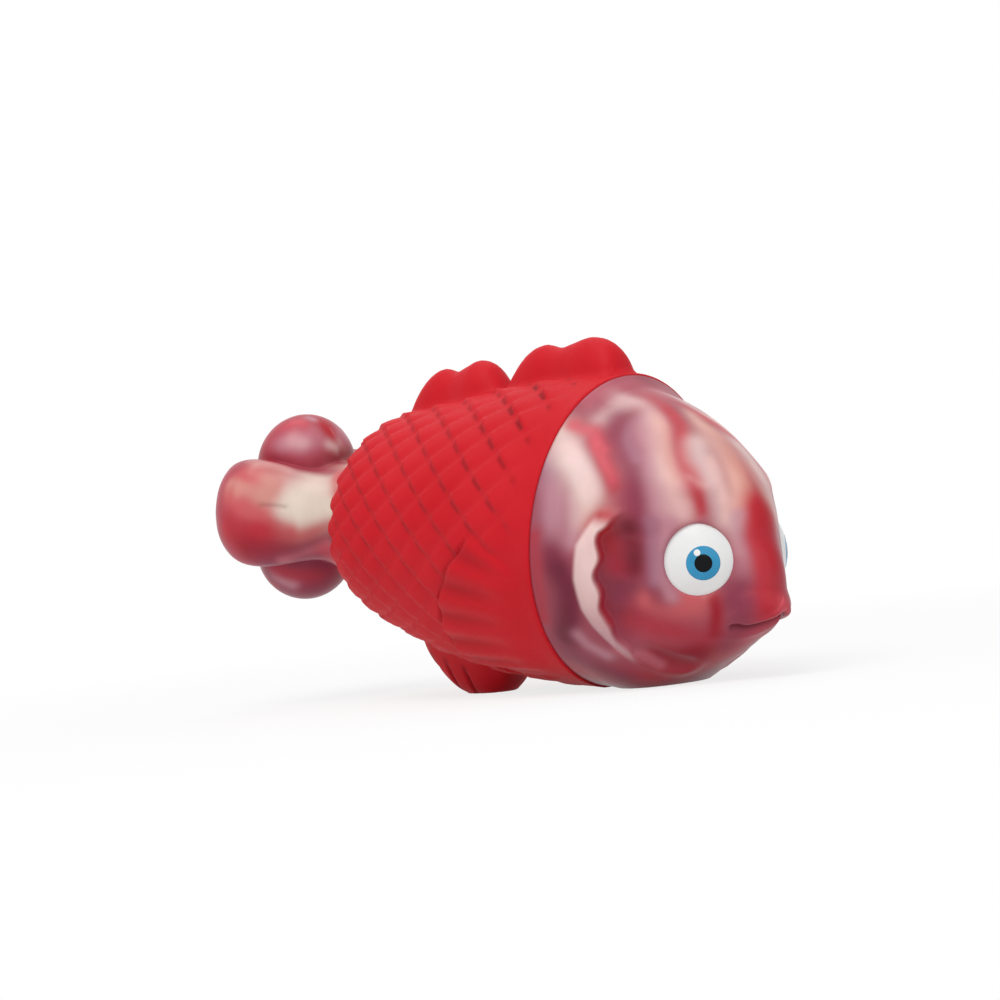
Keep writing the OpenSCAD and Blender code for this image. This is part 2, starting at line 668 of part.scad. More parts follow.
module squeaker_cap() {
  color(squeaker_white) stance() in_belly() difference() {
    union() {
      translate([0, 0, cap_z + inlay_gap])
        cylinder(d = barrel_d, h = cap_rim_t - inlay_gap, $fn = 96);
      translate([0, 0, cap_z - cap_spigot])
        cylinder(d = inner_d - 2 * fit_gap, h = cap_spigot + cap_rim_t, $fn = 96);
    }
    for (i = [0 : cap_holes - 1])
      rotate([0, 0, 360 * i / cap_holes])
        translate([cap_hole_r, 0, 0])
          cylinder(d = cap_hole_d, h = barrel_len + overrun, $fn = 32);
  }
}

head_shell();
body_shell();
tail_shell();
right_eye_white();
right_iris();
right_pupil();
right_glint();
left_eye_white();
left_iris();
left_pupil();
left_glint();
squeaker_cup();
reed_plate();
reed();
reed_clamp();
squeaker_cap();
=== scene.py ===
import math

import bpy
import numpy as np
from mathutils import Matrix, Vector


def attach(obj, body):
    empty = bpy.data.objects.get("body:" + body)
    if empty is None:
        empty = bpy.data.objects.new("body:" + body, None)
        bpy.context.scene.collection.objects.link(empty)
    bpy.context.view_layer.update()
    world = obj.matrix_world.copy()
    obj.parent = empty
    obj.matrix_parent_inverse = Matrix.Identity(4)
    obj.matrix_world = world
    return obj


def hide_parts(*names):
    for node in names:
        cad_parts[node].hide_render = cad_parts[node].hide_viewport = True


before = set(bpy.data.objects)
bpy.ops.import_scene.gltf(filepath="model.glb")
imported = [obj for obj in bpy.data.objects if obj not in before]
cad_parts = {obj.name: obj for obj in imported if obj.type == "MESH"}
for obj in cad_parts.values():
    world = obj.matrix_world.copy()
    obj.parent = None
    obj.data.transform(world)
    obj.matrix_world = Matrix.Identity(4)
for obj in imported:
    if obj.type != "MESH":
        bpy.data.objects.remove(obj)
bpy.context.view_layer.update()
print("frame loaded")

# Shapes are worked out in the fish's own frame, in mm: X towards the lips, Y to its left, Z up, origin
# in the middle of the seam between head and body. stance turns that into the shared frame, in metres.
stance = {"pitch": 10.6873, "throat": (14.0603, 0.0, -32.0075), "soleCut": 1.1}


def toRow(points):
    turn = math.radians(stance["pitch"])
    x, y, z = (np.asarray(points, float) - np.array(stance["throat"])).T
    out = np.stack([x * math.cos(turn) + z * math.sin(turn), y,
                    -x * math.sin(turn) + z * math.cos(turn) - stance["soleCut"]], -1)
    return out * 0.001


def toFish(points):
    turn = math.radians(stance["pitch"])
    x, y, z = (np.asarray(points, float) * 1000 + np.array((0, 0, stance["soleCut"]))).T
    out = np.stack([x * math.cos(turn) - z * math.sin(turn), y, x * math.sin(turn) + z * math.cos(turn)], -1)
    return out + np.array(stance["throat"])


# small shaping helpers
def curveAt(table, s):
    # the table's rows, joined by a smooth curve, at the places s along their first column
    rows = np.array(table, float)
    last = len(rows) - 1
    slopes = np.array([(rows[min(k + 1, last)] - rows[max(k - 1, 0)])
                       / (rows[min(k + 1, last), 0] - rows[max(k - 1, 0), 0]) for k in range(last + 1)])
    s = np.asarray(s, float)
    i = np.clip(np.searchsorted(rows[:, 0], s) - 1, 0, last - 1)
    step = (rows[i + 1, 0] - rows[i, 0])[..., None]
    u = (s - rows[i, 0])[..., None] / step
    return ((2 * u**3 - 3 * u**2 + 1) * rows[i] + (u**3 - 2 * u**2 + u) * step * slopes[i]
            + (3 * u**2 - 2 * u**3) * rows[i + 1] + (u**3 - u**2) * step * slopes[i + 1])


def bump(v, middle, half):
    # a rounded hump, one in its middle and nought beyond half its width
    return np.where(abs(v - middle) < half, (1 + np.cos(np.pi * np.clip((v - middle) / half, -1, 1))) / 2, 0)


def bell(v, width):
    return np.exp(-(v / width)**2)


def smooth(v, low, high):
    u = np.clip((v - low) / (high - low), 0, 1)
    return u * u * (3 - 2 * u)


def within(v, start, full, easing, end):
    # one from full to easing, nought before start and after end
    return smooth(v, start, full) * (1 - smooth(v, easing, end))


def softMax(a, b, blend):
    h = np.clip(0.5 + 0.5 * (a - b) / blend, 0, 1)
    return a * h + b * (1 - h) + blend * h * (1 - h)


def nearestOn(points, line):
    # distance of each point to a line through the given places
    best = np.full(len(points), 1e9)
    for p, q in zip(line[:-1], line[1:]):
        along = q - p
        u = np.clip((points - p) @ along / max(along @ along, 1e-9), 0, 1)
        best = np.minimum(best, np.linalg.norm(points - p - u[:, None] * along, axis=1))
    return best


def waves(points, size, seed, count=10):
    # soft unevenness between -1 and 1, from a few fixed sine waves
    pick = np.random.RandomState(seed)
    total = np.zeros(len(points))
    for wave in range(count):
        way = pick.normal(size=3)
        way /= np.linalg.norm(way)
        length = size * pick.uniform(0.7, 1.6)
        total += np.sin(points @ way * (2 * math.pi / length) + pick.uniform(0, 6.28))
    return total / math.sqrt(count) / 1.5


# object helpers
startRadius, startTube = 0.03, 0.01  # of the primitives that become skins


def nothingSelected():
    if bpy.context.object and bpy.context.object.mode != "OBJECT":
        bpy.ops.object.mode_set(mode="OBJECT")
    bpy.ops.object.select_all(action="DESELECT")


def onlySelected(obj):
    nothingSelected()
    obj.select_set(True)
    bpy.context.view_layer.objects.active = obj


def justAdded(name):
    obj = bpy.context.object
    obj.name = obj.data.name = name
    return obj


def placeOf(obj):
    co = np.zeros(len(obj.data.vertices) * 3, np.float32)
    obj.data.vertices.foreach_get("co", co)
    return co.reshape(-1, 3).astype(float)


def setPlaces(obj, places):
    obj.data.vertices.foreach_set("co", np.asarray(places, np.float32).ravel())
    obj.data.update()


def keepAboveFloor(obj):
    places = placeOf(obj)
    places[:, 2] = np.maximum(places[:, 2], 0)
    setPlaces(obj, places)


def paint(obj, name, values):
    values = np.asarray(values, np.float32)
    if values.ndim == 1:
        obj.data.attributes.new(name, "FLOAT", "POINT").data.foreach_set("value", values)
    else:
        rgba = np.column_stack([values, np.ones(len(values), np.float32)]).astype(np.float32)
        obj.data.attributes.new(name, "FLOAT_COLOR", "POINT").data.foreach_set("color", rgba.ravel())


def stepRound(y, x, steps):
    # which of the equal steps round a circle a place is on
    return np.rint(np.arctan2(y, x) / (2 * math.pi) * steps).astype(int) % steps


# A closed skin from a UV sphere: row 0 is the pole at its top, then rings, then the other pole.
def skinFromSphere(name, rows):
    count, around = len(rows) - 1, rows.shape[1]
    nothingSelected()
    bpy.ops.mesh.primitive_uv_sphere_add(segments=around, ring_count=count, radius=startRadius)
    obj = justAdded(name)
    co = placeOf(obj) / startRadius
    ring = np.rint(np.arccos(np.clip(co[:, 2], -1, 1)) / math.pi * count).astype(int)
    column = stepRound(co[:, 1], co[:, 0], around)
    column[(ring == 0) | (ring == count)] = 0
    setPlaces(obj, toRow(rows[ring, column]))
    return obj, ring, column


# A closed skin from a torus: the rings run over the outer surface, round the edge and back inside.
def skinFromTorus(name, rows):
    count, around = rows.shape[:2]
    nothingSelected()
    bpy.ops.mesh.primitive_torus_add(major_segments=around, minor_segments=count, major_radius=startRadius,
                                     minor_radius=startTube)
    obj = justAdded(name)
    co = placeOf(obj)
    column = stepRound(co[:, 1], co[:, 0], around)
    ring = stepRound(co[:, 2], np.hypot(co[:, 0], co[:, 1]) - startRadius, count)
    setPlaces(obj, toRow(rows[ring, column]))
    return obj, ring, column


# The solid's own proportions, as its source has them.
head = {"length": 45.5, "drop": 8.0, "height": 67.0, "width": 59.2,
        "shares": [(0, 0, 1, 1, 1), (.12, .06, .952, .972, .97), (.24, .17, .873, .89, .855),
                   (.36, .34, .778, .73, .69), (.48, .54, .655, .55, .515), (.60, .74, .52, .375, .355),
                   (.73, .90, .36, .225, .225), (.87, .985, .19, .115, .11), (1, 1, 0, 0, 0)]}
body = {"length": 75.0, "rearHeight": 35.0, "rearWidth": 31.0, "rearDrop": 6.4, "wall": 3.0,
        "shares": [(0, 0, 1), (.16, .14, .975), (.32, .34, .895), (.48, .54, .78), (.64, .70, .645),
                   (.80, .82, .485), (.91, .90, .30), (1, 1, .01)]}


def headPoint(t, angle, inset=0.0):
    row = curveAt(head["shares"], t)
    keep = 1 - inset / (head["width"] / 2)
    a = np.radians(angle)
    high = head["height"] / 2 * np.where(np.sin(a) > 0, row[..., 2], row[..., 3]) * keep
    wide = head["width"] / 2 * row[..., 4] * keep
    return np.stack([head["length"] * keep * np.sin(np.pi / 2 * t) + 0 * a, wide * np.cos(a),
                     -head["drop"] * row[..., 1] + high * np.sin(a)], -1)


def bodySize(x):
    row = curveAt(body["shares"], -x / body["length"])
    middle = -body["rearDrop"] * row[..., 1]
    high = body["rearHeight"] / 2 + (head["height"] - body["rearHeight"]) / 2 * row[..., 2]
    wide = body["rearWidth"] / 2 + (head["width"] - body["rearWidth"]) / 2 * row[..., 2]
    return middle, high, wide


def bodyPoint(x, angle, out=0.0):
    middle, high, wide = bodySize(x)
    a = np.radians(angle)
    return np.stack([x + 0 * a, (wide + out) * np.cos(a), middle + (high + out) * np.sin(a)], -1)


def folded(angle):
    return np.where(angle > 270, 540 - angle, np.where(angle < 90, 180 - angle, angle))


# the scaled jacket
scalesPerUv = 50  # the jacket's UV map counts this many scales to its width
jacket = {"around": 44, "perHalfStep": 11, "levels": 14, "frontBand": 0.035, "crowding": 0.2, "rise": 0.95,
          "lip": 0.5, "fadeLevels": 1.6, "stepWidth": 0.12, "bulge": 0.08, "steepShare": 0.88, "lowCalm": 0.2,
          "rimBack": 0.3, "scallop": 0.62, "roundness": 0.94, "rimSoft": 0.12, "bellyTrim": 1.3,
          "innerRows": 8, "innerEnd": 65.0, "finBlend": 1.8, "finSink": 1.4, "finReach": 40.0,
          "finSteps": 1400,
          # where the painted shadow strokes in the scale steps begin and fade, and how much weaker they are
          # below and at the rear
          "stepShadowsFrom": (0.35, 1.0), "stepShadowsFade": (2.2, 5.0), "lowStepShadows": 0.3, "rearStepShadows": 0.48,
          "frontEdge": [(-0.12, 0.12), (-0.25, 0.34), (-0.55, 0.47), (-1.0, 0.5), (-1.8, 0.5)],
          "rimTurn": [(-0.12, 0.1), (-0.05, -1.2), (0.3, -2.8)]}
# The fins' shares run from the rear end, as (share of the length, of the height, of the thickness).
frontFin = {"ends": (0.47, 0.012), "height": 9.3, "thick": 11.0, "side": 1,
            "shares": [(0, 0, .15), (.07, .42, .6), (.18, .86, .82), (.31, 1, .88), (.45, .86, .84),
                       (.56, .91, .9), (.71, 1, 1), (.86, .86, .96), (.96, .48, .76), (1, 0, .2)]}
rearFin = {"ends": (0.86, 0.46), "height": 9.3, "thick": 11.0, "side": 1,
           "shares": [(0, 0, .15), (.07, .47, .6), (.18, .86, .82), (.31, 1, .88), (.45, .86, .84),
                      (.56, .93, .9), (.68, 1, 1), (.80, .84, .96), (.90, .48, .76), (.97, .12, .5),
                      (1, 0, .2)]}
bellyFin = {"ends": (0.80, 0.36), "height": 10.5, "thick": 13.0, "side": -1,
            "grooves": (-53.5, -48.0, -42.0), "grooveDepth": 0.8, "grooveLean": 0.35, "grooveShade": 0.85,
            "shares": [(0, 0, .15), (.16, .5, .75), (.36, .9, .95), (.55, 1, 1), (.72, .96, 1),
                       (.84, .66, .88), (.93, .24, .7), (1, 0, .2)]}
# The side fin's rays, from the top one down, as (share, length, tip angle, root angle).
sideFin = {"start": 3.0, "length": 31.5, "rise": 2.0, "ribs": 6, "ribDepth": 0.42, "edgeWidth": 0.03,
           "waver": 0.008, "creaseShadeTone": 0.4,
           "shares": [(0, .56, 178, 192), (.25, .87, 197, 204), (.5, 1, 217, 217), (.75, .96, 236, 230),
                      (1, .64, 249, 243)]}
seat = {"x": -17.5, "depth": 1.7, "flange": 18.3, "flangeThick": 1.4, "bore": 16.3, "boreDeep": 9.0,
        "cutterLength": 30.0}


def levelX(k):
    s = k / jacket["levels"]
    c = jacket["crowding"]
    return -body["length"] * (jacket["frontBand"] + (1 - jacket["frontBand"]) * ((1 + c) * s - c * s * s))


def finSection(fin, x):
    s = (-x / body["length"] - fin["ends"][0]) / (fin["ends"][1] - fin["ends"][0])
    row = curveAt(fin["shares"], np.clip(s, 0, 1))
    inside = (s > 0) & (s < 1)
    return np.where(inside, np.maximum(row[..., 1], 0), 0) * fin["height"], row[..., 2] * fin["thick"] / 2


# How far the fin on a centre line lifts the surface at a lateral place y.
def lifted(plain, fins, x, y):
    high = bodySize(x)[1]
    steepFrom, steepHeight, steepSlope = 0.93, 0.3676, 2.53
    out = plain
    for fin in fins:
        tall, half = finSection(fin, x)
        u = abs(y) / np.maximum(half, 0.3)
        dome = np.sqrt(np.maximum(1 - np.minimum(u, steepFrom)**2, 0))
        dome = np.where(u < steepFrom, dome, steepHeight - steepSlope * (u - steepFrom))
        crest = np.where(u < 1.35, high + jacket["lip"] - jacket["finSink"] + tall * dome, -99)
        blend = 0.2 + jacket["finBlend"] * smooth(tall, 0, 3)
        out = np.where(tall > 0.05, softMax(out, crest, blend), out)
    return out


def fanPlace(x, angle):
    # share along the side fin's rays (u) and across them (v) at a place on the flank
    low, high = np.full(x.shape, -0.3), np.full(x.shape, 1.3)
    for step in range(22):
        v = (low + high) / 2
        row = curveAt(sideFin["shares"], np.clip(v, 0, 1))
        beyond = (v - np.clip(v, 0, 1)) * 60
        u = (-x - sideFin["start"]) / (sideFin["length"] * row[..., 1] - sideFin["start"])
        ray = row[..., 3] + u * (row[..., 2] - row[..., 3]) + beyond
        low, high = np.where(ray < angle, v, low), np.where(ray < angle, high, v)
    return u, v


def scaleField(level, around):
    p, r = (level + around) / 2, (level - around) / 2
    fp, fr = p - np.floor(p), r - np.floor(r)
    last = (np.floor(p) + np.floor(r)) >= jacket["levels"] - 2
    step = 1 - jacket["stepWidth"]

    def saw(f):
        return np.where(last, f, np.where(f < step, np.clip(f / step, 0, 1), 1 - smooth(f, step, 1)))
    steep = jacket["steepShare"]
    h = steep * saw(fp) * (0.35 + 0.65 * smooth(fr, 0, 0.5)) + (1 - steep) * saw(fr)
    return h + jacket["bulge"] * np.sin(np.pi * fp) * np.sin(np.pi * fr)


# The UV map counts the scales along both diagonals and closes where the rings close.
def countScales(obj, ring, column, counts):
    size, n = len(obj.data.loops), counts.shape[1]
    corner, start = np.zeros(size, np.int32), np.zeros(len(obj.data.polygons), np.int32)
    obj.data.loops.foreach_get("vertex_index", corner)
    obj.data.polygons.foreach_get("loop_start", start)
    face = np.searchsorted(start, np.arange(size), side="right") - 1
    columns = column[corner]
    lastColumn = np.zeros(len(start), int)
    np.maximum.at(lastColumn, face, columns)
    wraps = (columns == 0) & (lastColumn[face] == n - 1)
    uv = counts[ring[corner], columns] + np.where(wraps[:, None], np.array((0.5, -0.5)) * jacket["around"], 0)
    layer = obj.data.uv_layers.get("UVMap") or obj.data.uv_layers.new(name="UVMap")
    layer.data.foreach_set("uv", (uv / scalesPerUv).astype(np.float32).ravel())


def jacketRings():
    # the rings' places and scale levels, from the front edge to the scalloped rim
    per, steady = jacket["perHalfStep"], jacket["levels"] - 2
    q = np.arange(jacket["around"] * per) / per
    toTip = abs((q + 1) % 2 - 1)
    # round scallops that meet in narrow notches
    rimLevel = 1 - np.sqrt(1 - (jacket["roundness"] * toTip)**2)
    rimLevel = jacket["levels"] - jacket["rimBack"] - jacket["scallop"] * rimLevel
    levels = [np.full(len(q), k / per) for k in range(steady * per + 1)]
    levels += [steady + (rimLevel - steady) * k / (2 * per) for k in range(1, 2 * per + 1)]
    levels = np.array(levels)
    # the last ring is drawn back a little
    levels[-1] -= 0.002
    edge = np.array(jacket["frontEdge"])[:, :1]
    x = np.vstack([np.repeat(edge, len(q), 1), levelX(levels)])
    levels = np.vstack([np.zeros((len(edge), len(q))), levels])
    return x, levels, np.repeat((360 * q / jacket["around"])[None, :], len(x), 0), rimLevel


def crowdOnFins(x, base):
    # the columns crowd on the fins' steep sides
    angle = base.copy()
    for middle, fins in ((90, (frontFin, rearFin)), (270, (bellyFin,))):
        columns = np.where(abs(base[0] - middle) <= jacket["finReach"])[0]
        fine = np.linspace(base[0][columns[0]], base[0][columns[-1]], jacket["finSteps"])
        a = np.radians(fine)
        for i in range(len(x)):
            xi = float(np.median(x[i]))
            tall = max(float(finSection(fin, np.array(xi))[0]) for fin in fins)
            weight = float(smooth(tall, 0.0, 2.0))
            if weight <= 0:
                continue
            here = np.full(fine.shape, xi)
            high, wide = bodySize(here)[1:]
            y = (wide + jacket["lip"]) * np.cos(a)
            reach = lifted((high + jacket["lip"]) * abs(np.sin(a)), fins, here, y)
            run = np.concatenate([[0], np.cumsum(np.hypot(np.diff(y), np.diff(reach)))])
            placed = np.interp(np.linspace(0, run[-1], len(columns)), run, fine)
            angle[i, columns] = base[i, columns] * (1 - weight) + placed * weight
    return angle


def sideFan(x, angle):
    # the side fin's height, how far the scales stay round it, and the shade painted at its edge and in its
    # rib valleys
    u, v = fanPlace(x, folded(angle))
    ribs = (1 - np.cos(2 * np.pi * sideFin["ribs"] * np.clip(v, 0, 1))) / 2
    reach = 1 + sideFin["waver"] * np.cos(2 * np.pi * sideFin["ribs"] * v)
    inside = (1 - smooth(u, reach - sideFin["edgeWidth"], reach)) * smooth(u, -0.02, 0.35)
    inside = inside * within(v, -0.02, 0.05, 0.95, 1.02)
    # it thins out towards the belly
    thickness = (0.55 + 0.45 * within(v, 0, 0.16, 0.84, 1)) * (1 - 0.8 * smooth(v, 0.72, 0.97))
    fan = sideFin["rise"] * inside * thickness * (0.45 + 0.55 * np.clip(u, 0, 1))
    fan = fan * (1 - sideFin["ribDepth"] * ribs * smooth(u, 0.05, 0.5))
    under = within(u, -0.1, 0.2, 1, 1.03) * within(v, -0.05, 0, 1, 1.05)
    root = within(u, -0.4, -0.1, 0.1, 0.5) * within(v, -0.25, 0, 1, 1.25)
    # painted shade: a dark line under the fan's edge and darker valleys between the ribs
    edge = bump(u, 1.015, 0.05) * within(v, 0, 0.1, 0.9, 1)
    valleyShade = ribs**2 * smooth(u, 0.2, 0.8) * inside
    return fan, (1 - under) * (1 - 0.9 * root), sideFin["creaseShadeTone"] * (edge + valleyShade)


def buildJacket():
    x, levels, base, rimLevel = jacketRings()
    angle = crowdOnFins(x, base)
    around = angle / 360 * jacket["around"]
    mid, high, wide = bodySize(x)
    a = np.radians(angle)
    up = np.sin(a)

    # the scales fade out beside the fins and lie flatter below
    fan, calm, fanCreaseShade = sideFan(x, angle)
    across = abs(wide * np.cos(a))
    for fin in (frontFin, rearFin, bellyFin):
        start, end = (-share * body["length"] for share in fin["ends"])
        half = np.maximum(finSection(fin, x)[1], 1.5)
        beside = within(x, start - 2, start + 1, end - 1, end + 2)
        beside = beside * (1 - smooth(across, half - 0.5, half + 3)) * (up * fin["side"] > 0)
        calm = calm * (1 - beside)
    rise = jacket["rise"] * np.minimum(1, levels / jacket["fadeLevels"]) * calm
    rise = rise * (1 - jacket["lowCalm"] * smooth(-up, 0.1, 0.7))
    lip = np.full(x.shape, jacket["lip"])
    edgeLift = np.array(jacket["frontEdge"])[:, 1:]
    lip[:len(edgeLift)] = edgeLift
    thin = jacket["bellyTrim"] * smooth(-x, 38, 62) * smooth(-up, 0.25, 0.9)
    out = lip + rise * scaleField(levels, around) + fan - thin
    out[-1] -= jacket["rimSoft"]

    # the fins grow out of the back and the belly, and the belly fin has leaning grooves
    y = (wide + out) * np.cos(a)
    plain = (high + out) * abs(up)
    over = lifted(plain, (frontFin, rearFin), x, y)
    below = lifted(plain, (bellyFin,), x, y)
    half = finSection(bellyFin, x)[1]
    stand = below - high
    onFin = smooth(stand, 2.2, 4.5) * (up < 0)
    grooves = np.zeros(x.shape)
    for groove in bellyFin["grooves"]:
        lean = groove + stand * bellyFin["grooveLean"]
        y = y * (1 - bellyFin["grooveDepth"] / np.maximum(half, 3) * bump(x, lean, 1.1) * onFin)
        # where painted shade darkens the belly fin's grooves
        grooves = np.maximum(grooves, bump(x, lean, 1.3) * smooth(stand, 0.8, 2.4) * (up < 0))
    reach = np.where(abs(up) < 0.3, plain, np.where(up > 0, over, below))
    outer = np.stack([x, y, mid + np.sign(up) * reach], -1)

    # the front lip turns in over the head's collar, the rear rim turns in over the tail's neck
    wall, angles = body["wall"], base[0]
    lipRows = [bodyPoint(-0.1, angles, lift) for lift in (-wall, -wall / 2, -0.25)]
    turn = [bodyPoint(levelX(rimLevel) + along, angles, lift) for along, lift in jacket["rimTurn"]]
    rimRows = [outer[-1] + (turn[0] - outer[-1]) * 0.35] + turn
    depths = -jacket["innerEnd"] * (1 - np.arange(jacket["innerRows"]) / jacket["innerRows"]) - 0.1
    inner = [bodyPoint(depth, angles, -wall) for depth in depths]
    rows = np.array((lipRows + list(outer) + rimRows + inner)[::-1])
    obj, ring, column = skinFromTorus("scaledJacket", rows)

    # where the painted shadows and highlights on the scale steps and the painted shade in the creases show;
    # the outer rings count from the other end
    outside = len(rows) - 1 - len(lipRows) - np.arange(len(x))
    shown, shadedCrease, counts = (np.zeros(rows.shape[:2] + size) for size in ((), (), (2,)))
    strokes = smooth(levels, *jacket["stepShadowsFrom"]) * calm * (1 - smooth(levels - rimLevel + 1.2, 0, 1))
    low = jacket["lowStepShadows"]
    strokes = strokes * (low + (1 - low) * smooth(up - 0.012 * x - 0.5, -0.45, 0.4))
    shown[outside] = strokes * (1 - (1 - jacket["rearStepShadows"]) * smooth(levels, *jacket["stepShadowsFade"]))
    shadedCrease[outside] = fanCreaseShade + bellyFin["grooveShade"] * grooves
    counts[outside] = np.stack([levels + around, levels - around], -1) / 2
    countScales(obj, ring, column, counts)
    paint(obj, "stepShadingShare", np.clip(shown[ring, column], 0, 1))
    paint(obj, "shadedCrease", np.clip(shadedCrease[ring, column], 0, 1))
    keepAboveFloor(obj)
    return obj


scaledJacket = buildJacket()
print("jacket wrapped")


def seatLevel():
    # the height of the seat's floor
    mid, high = (float(v) for v in bodySize(np.array(seat["x"]))[:2])
    return mid - high - jacket["lip"] + seat["depth"]


# The squeaker's seat is cut through the belly.
def cutSeat(target):
    for name, across, top in (("seatCutter", seat["flange"], seat["flangeThick"]),
                              ("boreCutter", seat["bore"], seat["boreDeep"])):
        nothingSelected()
        bpy.ops.mesh.primitive_cylinder_add(vertices=128, radius=across / 2000,
                                            depth=seat["cutterLength"] / 1000)
        cutter = justAdded(name)
        places = placeOf(cutter) * 1000
        places[:, 2] += top - seat["cutterLength"] / 2
        places += np.array((seat["x"], 0, seatLevel()))
        setPlaces(cutter, toRow(places))
        onlySelected(target)
        cut = target.modifiers.new("seat", "BOOLEAN")
        cut.operation = "DIFFERENCE"
        cut.solver = "EXACT"
        cut.object = cutter
        bpy.ops.object.modifier_apply(modifier=cut.name)
        bpy.data.objects.remove(cutter, do_unlink=True)


cutSeat(scaledJacket)
print("seat cut")

# the marbled head
headSkin = {"rows": 190, "around": 420, "innerRows": 10, "collar": 5.5, "collarGap": 0.15, "crowding": 1.7,
            "crowdAt": 0.235, "crowdWidth": 0.07, "crowdSteps": 2001, "leftShift": (-2.0, 0, 1.5),
            "leftSway": 2.2, "leftWaves": 24}
headTrim = {"crown": [(0, 0), (.02, .8), (.05, 1.8), (.10, 1.7), (.20, 1.2), (.30, .6), (.42, 0), (1, 0)],
            "snout": 1.5, "chin": 1.2, "temple": 1.6, "templeReach": 10.0}
gill = {"rise": 1.5, "hollow": 1.5, "from": 158.0, "to": 232.0, "scallops": 26, "waver": 0.006,
        "foldDepth": 0.1, "hollowShade": 0.16, "lowTone": 0.55,
        "outer": [(150, .235), (160, .214), (167, .200), (177, .165), (190, .157), (202, .168), (209, .188),
                  (217, .218), (226, .245), (236, .27)],
        "inner": [(150, .30), (160, .278), (165, .242), (170, .222), (181, .222), (189, .216), (199, .224),
                  (207, .226), (214, .246), (226, .268), (236, .29)]}
mouth = {"depth": 0.75, "width": 0.8, "corner": 0.6, "cornerWidth": 1.6, "cornerAt": 4, "steps": 60,
         "lip": 0.35, "lipAway": 2.4, "lipWidth": 1.5, "lowerLip": 0.5, "lineShade": 0.9,
         "line": [(.60, 229), (.644, 237), (.714, 245), (.79, 254), (.84, 262), (.862, 270)]}
# Folds along lines on the face: the line's places, then height, distance from it and width of each ridge.
faceFolds = {"brow": ([(.415, 137), (.44, 132.5), (.47, 129.5)], [(0.7, 0, 4.5), (0.3, 0, 1.7)]),
             "wedge": ([(.435, 140), (.46, 142), (.475, 144)], [(-0.45, 0, 2.0)]),
             "chin": ([(.31, 226), (.345, 234), (.38, 243)], [(-0.5, 0, 2.0), (0.35, 3.3, 1.5)])}
# The eye's edge tables run over its sphere's polar angle.
eye = {"t": 0.51, "angle": 166.5, "drop": 0.85, "sink": 0.95, "width": 15.2, "height": 16.3, "egg": 0.05,
       "domeRadius": 13.0, "rise": 1.5, "back": 2.75, "mound": 0.35, "pocket": 1.6, "paintDepth": 0.3,
       "edgeReach": [(0, 0), (70, .94), (78, .98), (84, .995), (90, 1), (110, 1), (180, 0)],
       "edgeFall": [(0, 0), (70, 0), (78, .06), (84, .18), (90, .42), (100, 1.2), (110, 2)]}


def headLine(places):
    t, angle = np.array(places, float).T
    return headPoint(t, angle)


def eyeFrame(side):
    # the eye's place and its directions level, up and out of the head
    def beside(t, angle):
        return headPoint(np.array(eye["t"] + t), np.array(eye["angle"] + angle))
    normal = np.cross(beside(0.02, 0) - beside(-0.02, 0), beside(0, -2.0) - beside(0, 2.0))
    normal /= np.linalg.norm(normal)
    level = np.cross((0, 0, 1), normal)
    level /= np.linalg.norm(level)
    up = np.cross(normal, level)
    spot = beside(0, 0) - eye["drop"] * up - eye["sink"] * normal
    if side > 0:
        spot, level, up, normal = (v * np.array((1, -1, 1)) for v in (spot, level, up, normal))
    return spot, level, up, normal


# The marbling's colours.
shade = {"ground": (.34, .075, .105), "cream": (.77, .60, .55), "creamPink": (.72, .45, .43),
         "lilac": (.66, .46, .45), "peach": (.70, .39, .34), "peachRose": (.64, .29, .24),
         "mauve": (.48, .22, .27), "violet": (.34, .14, .20), "pinkMauve": (.50, .135, .17),
         "rose": (.56, .07, .095), "salmon": (.58, .11, .12), "roseRed": (.42, .035, .055),
         "lineRed": (.50, .024, .040), "deepRed": (.42, .010, .018), "streakRed": (.32, .008, .020),
         "plum": (.15, .014, .036), "plumRose": (.245, .036, .070), "cheekMauve": (.235, .034, .066),
         "maroon": (.25, .010, .026), "maroonDark": (.14, .005, .014), "hollowRed": (.42, .016, .030),
         "magenta": (.42, .022, .055), "flap": (.76, .54, .52), "bone": (.77, .70, .59),
         "brightRose": (.64, .10, .13)}
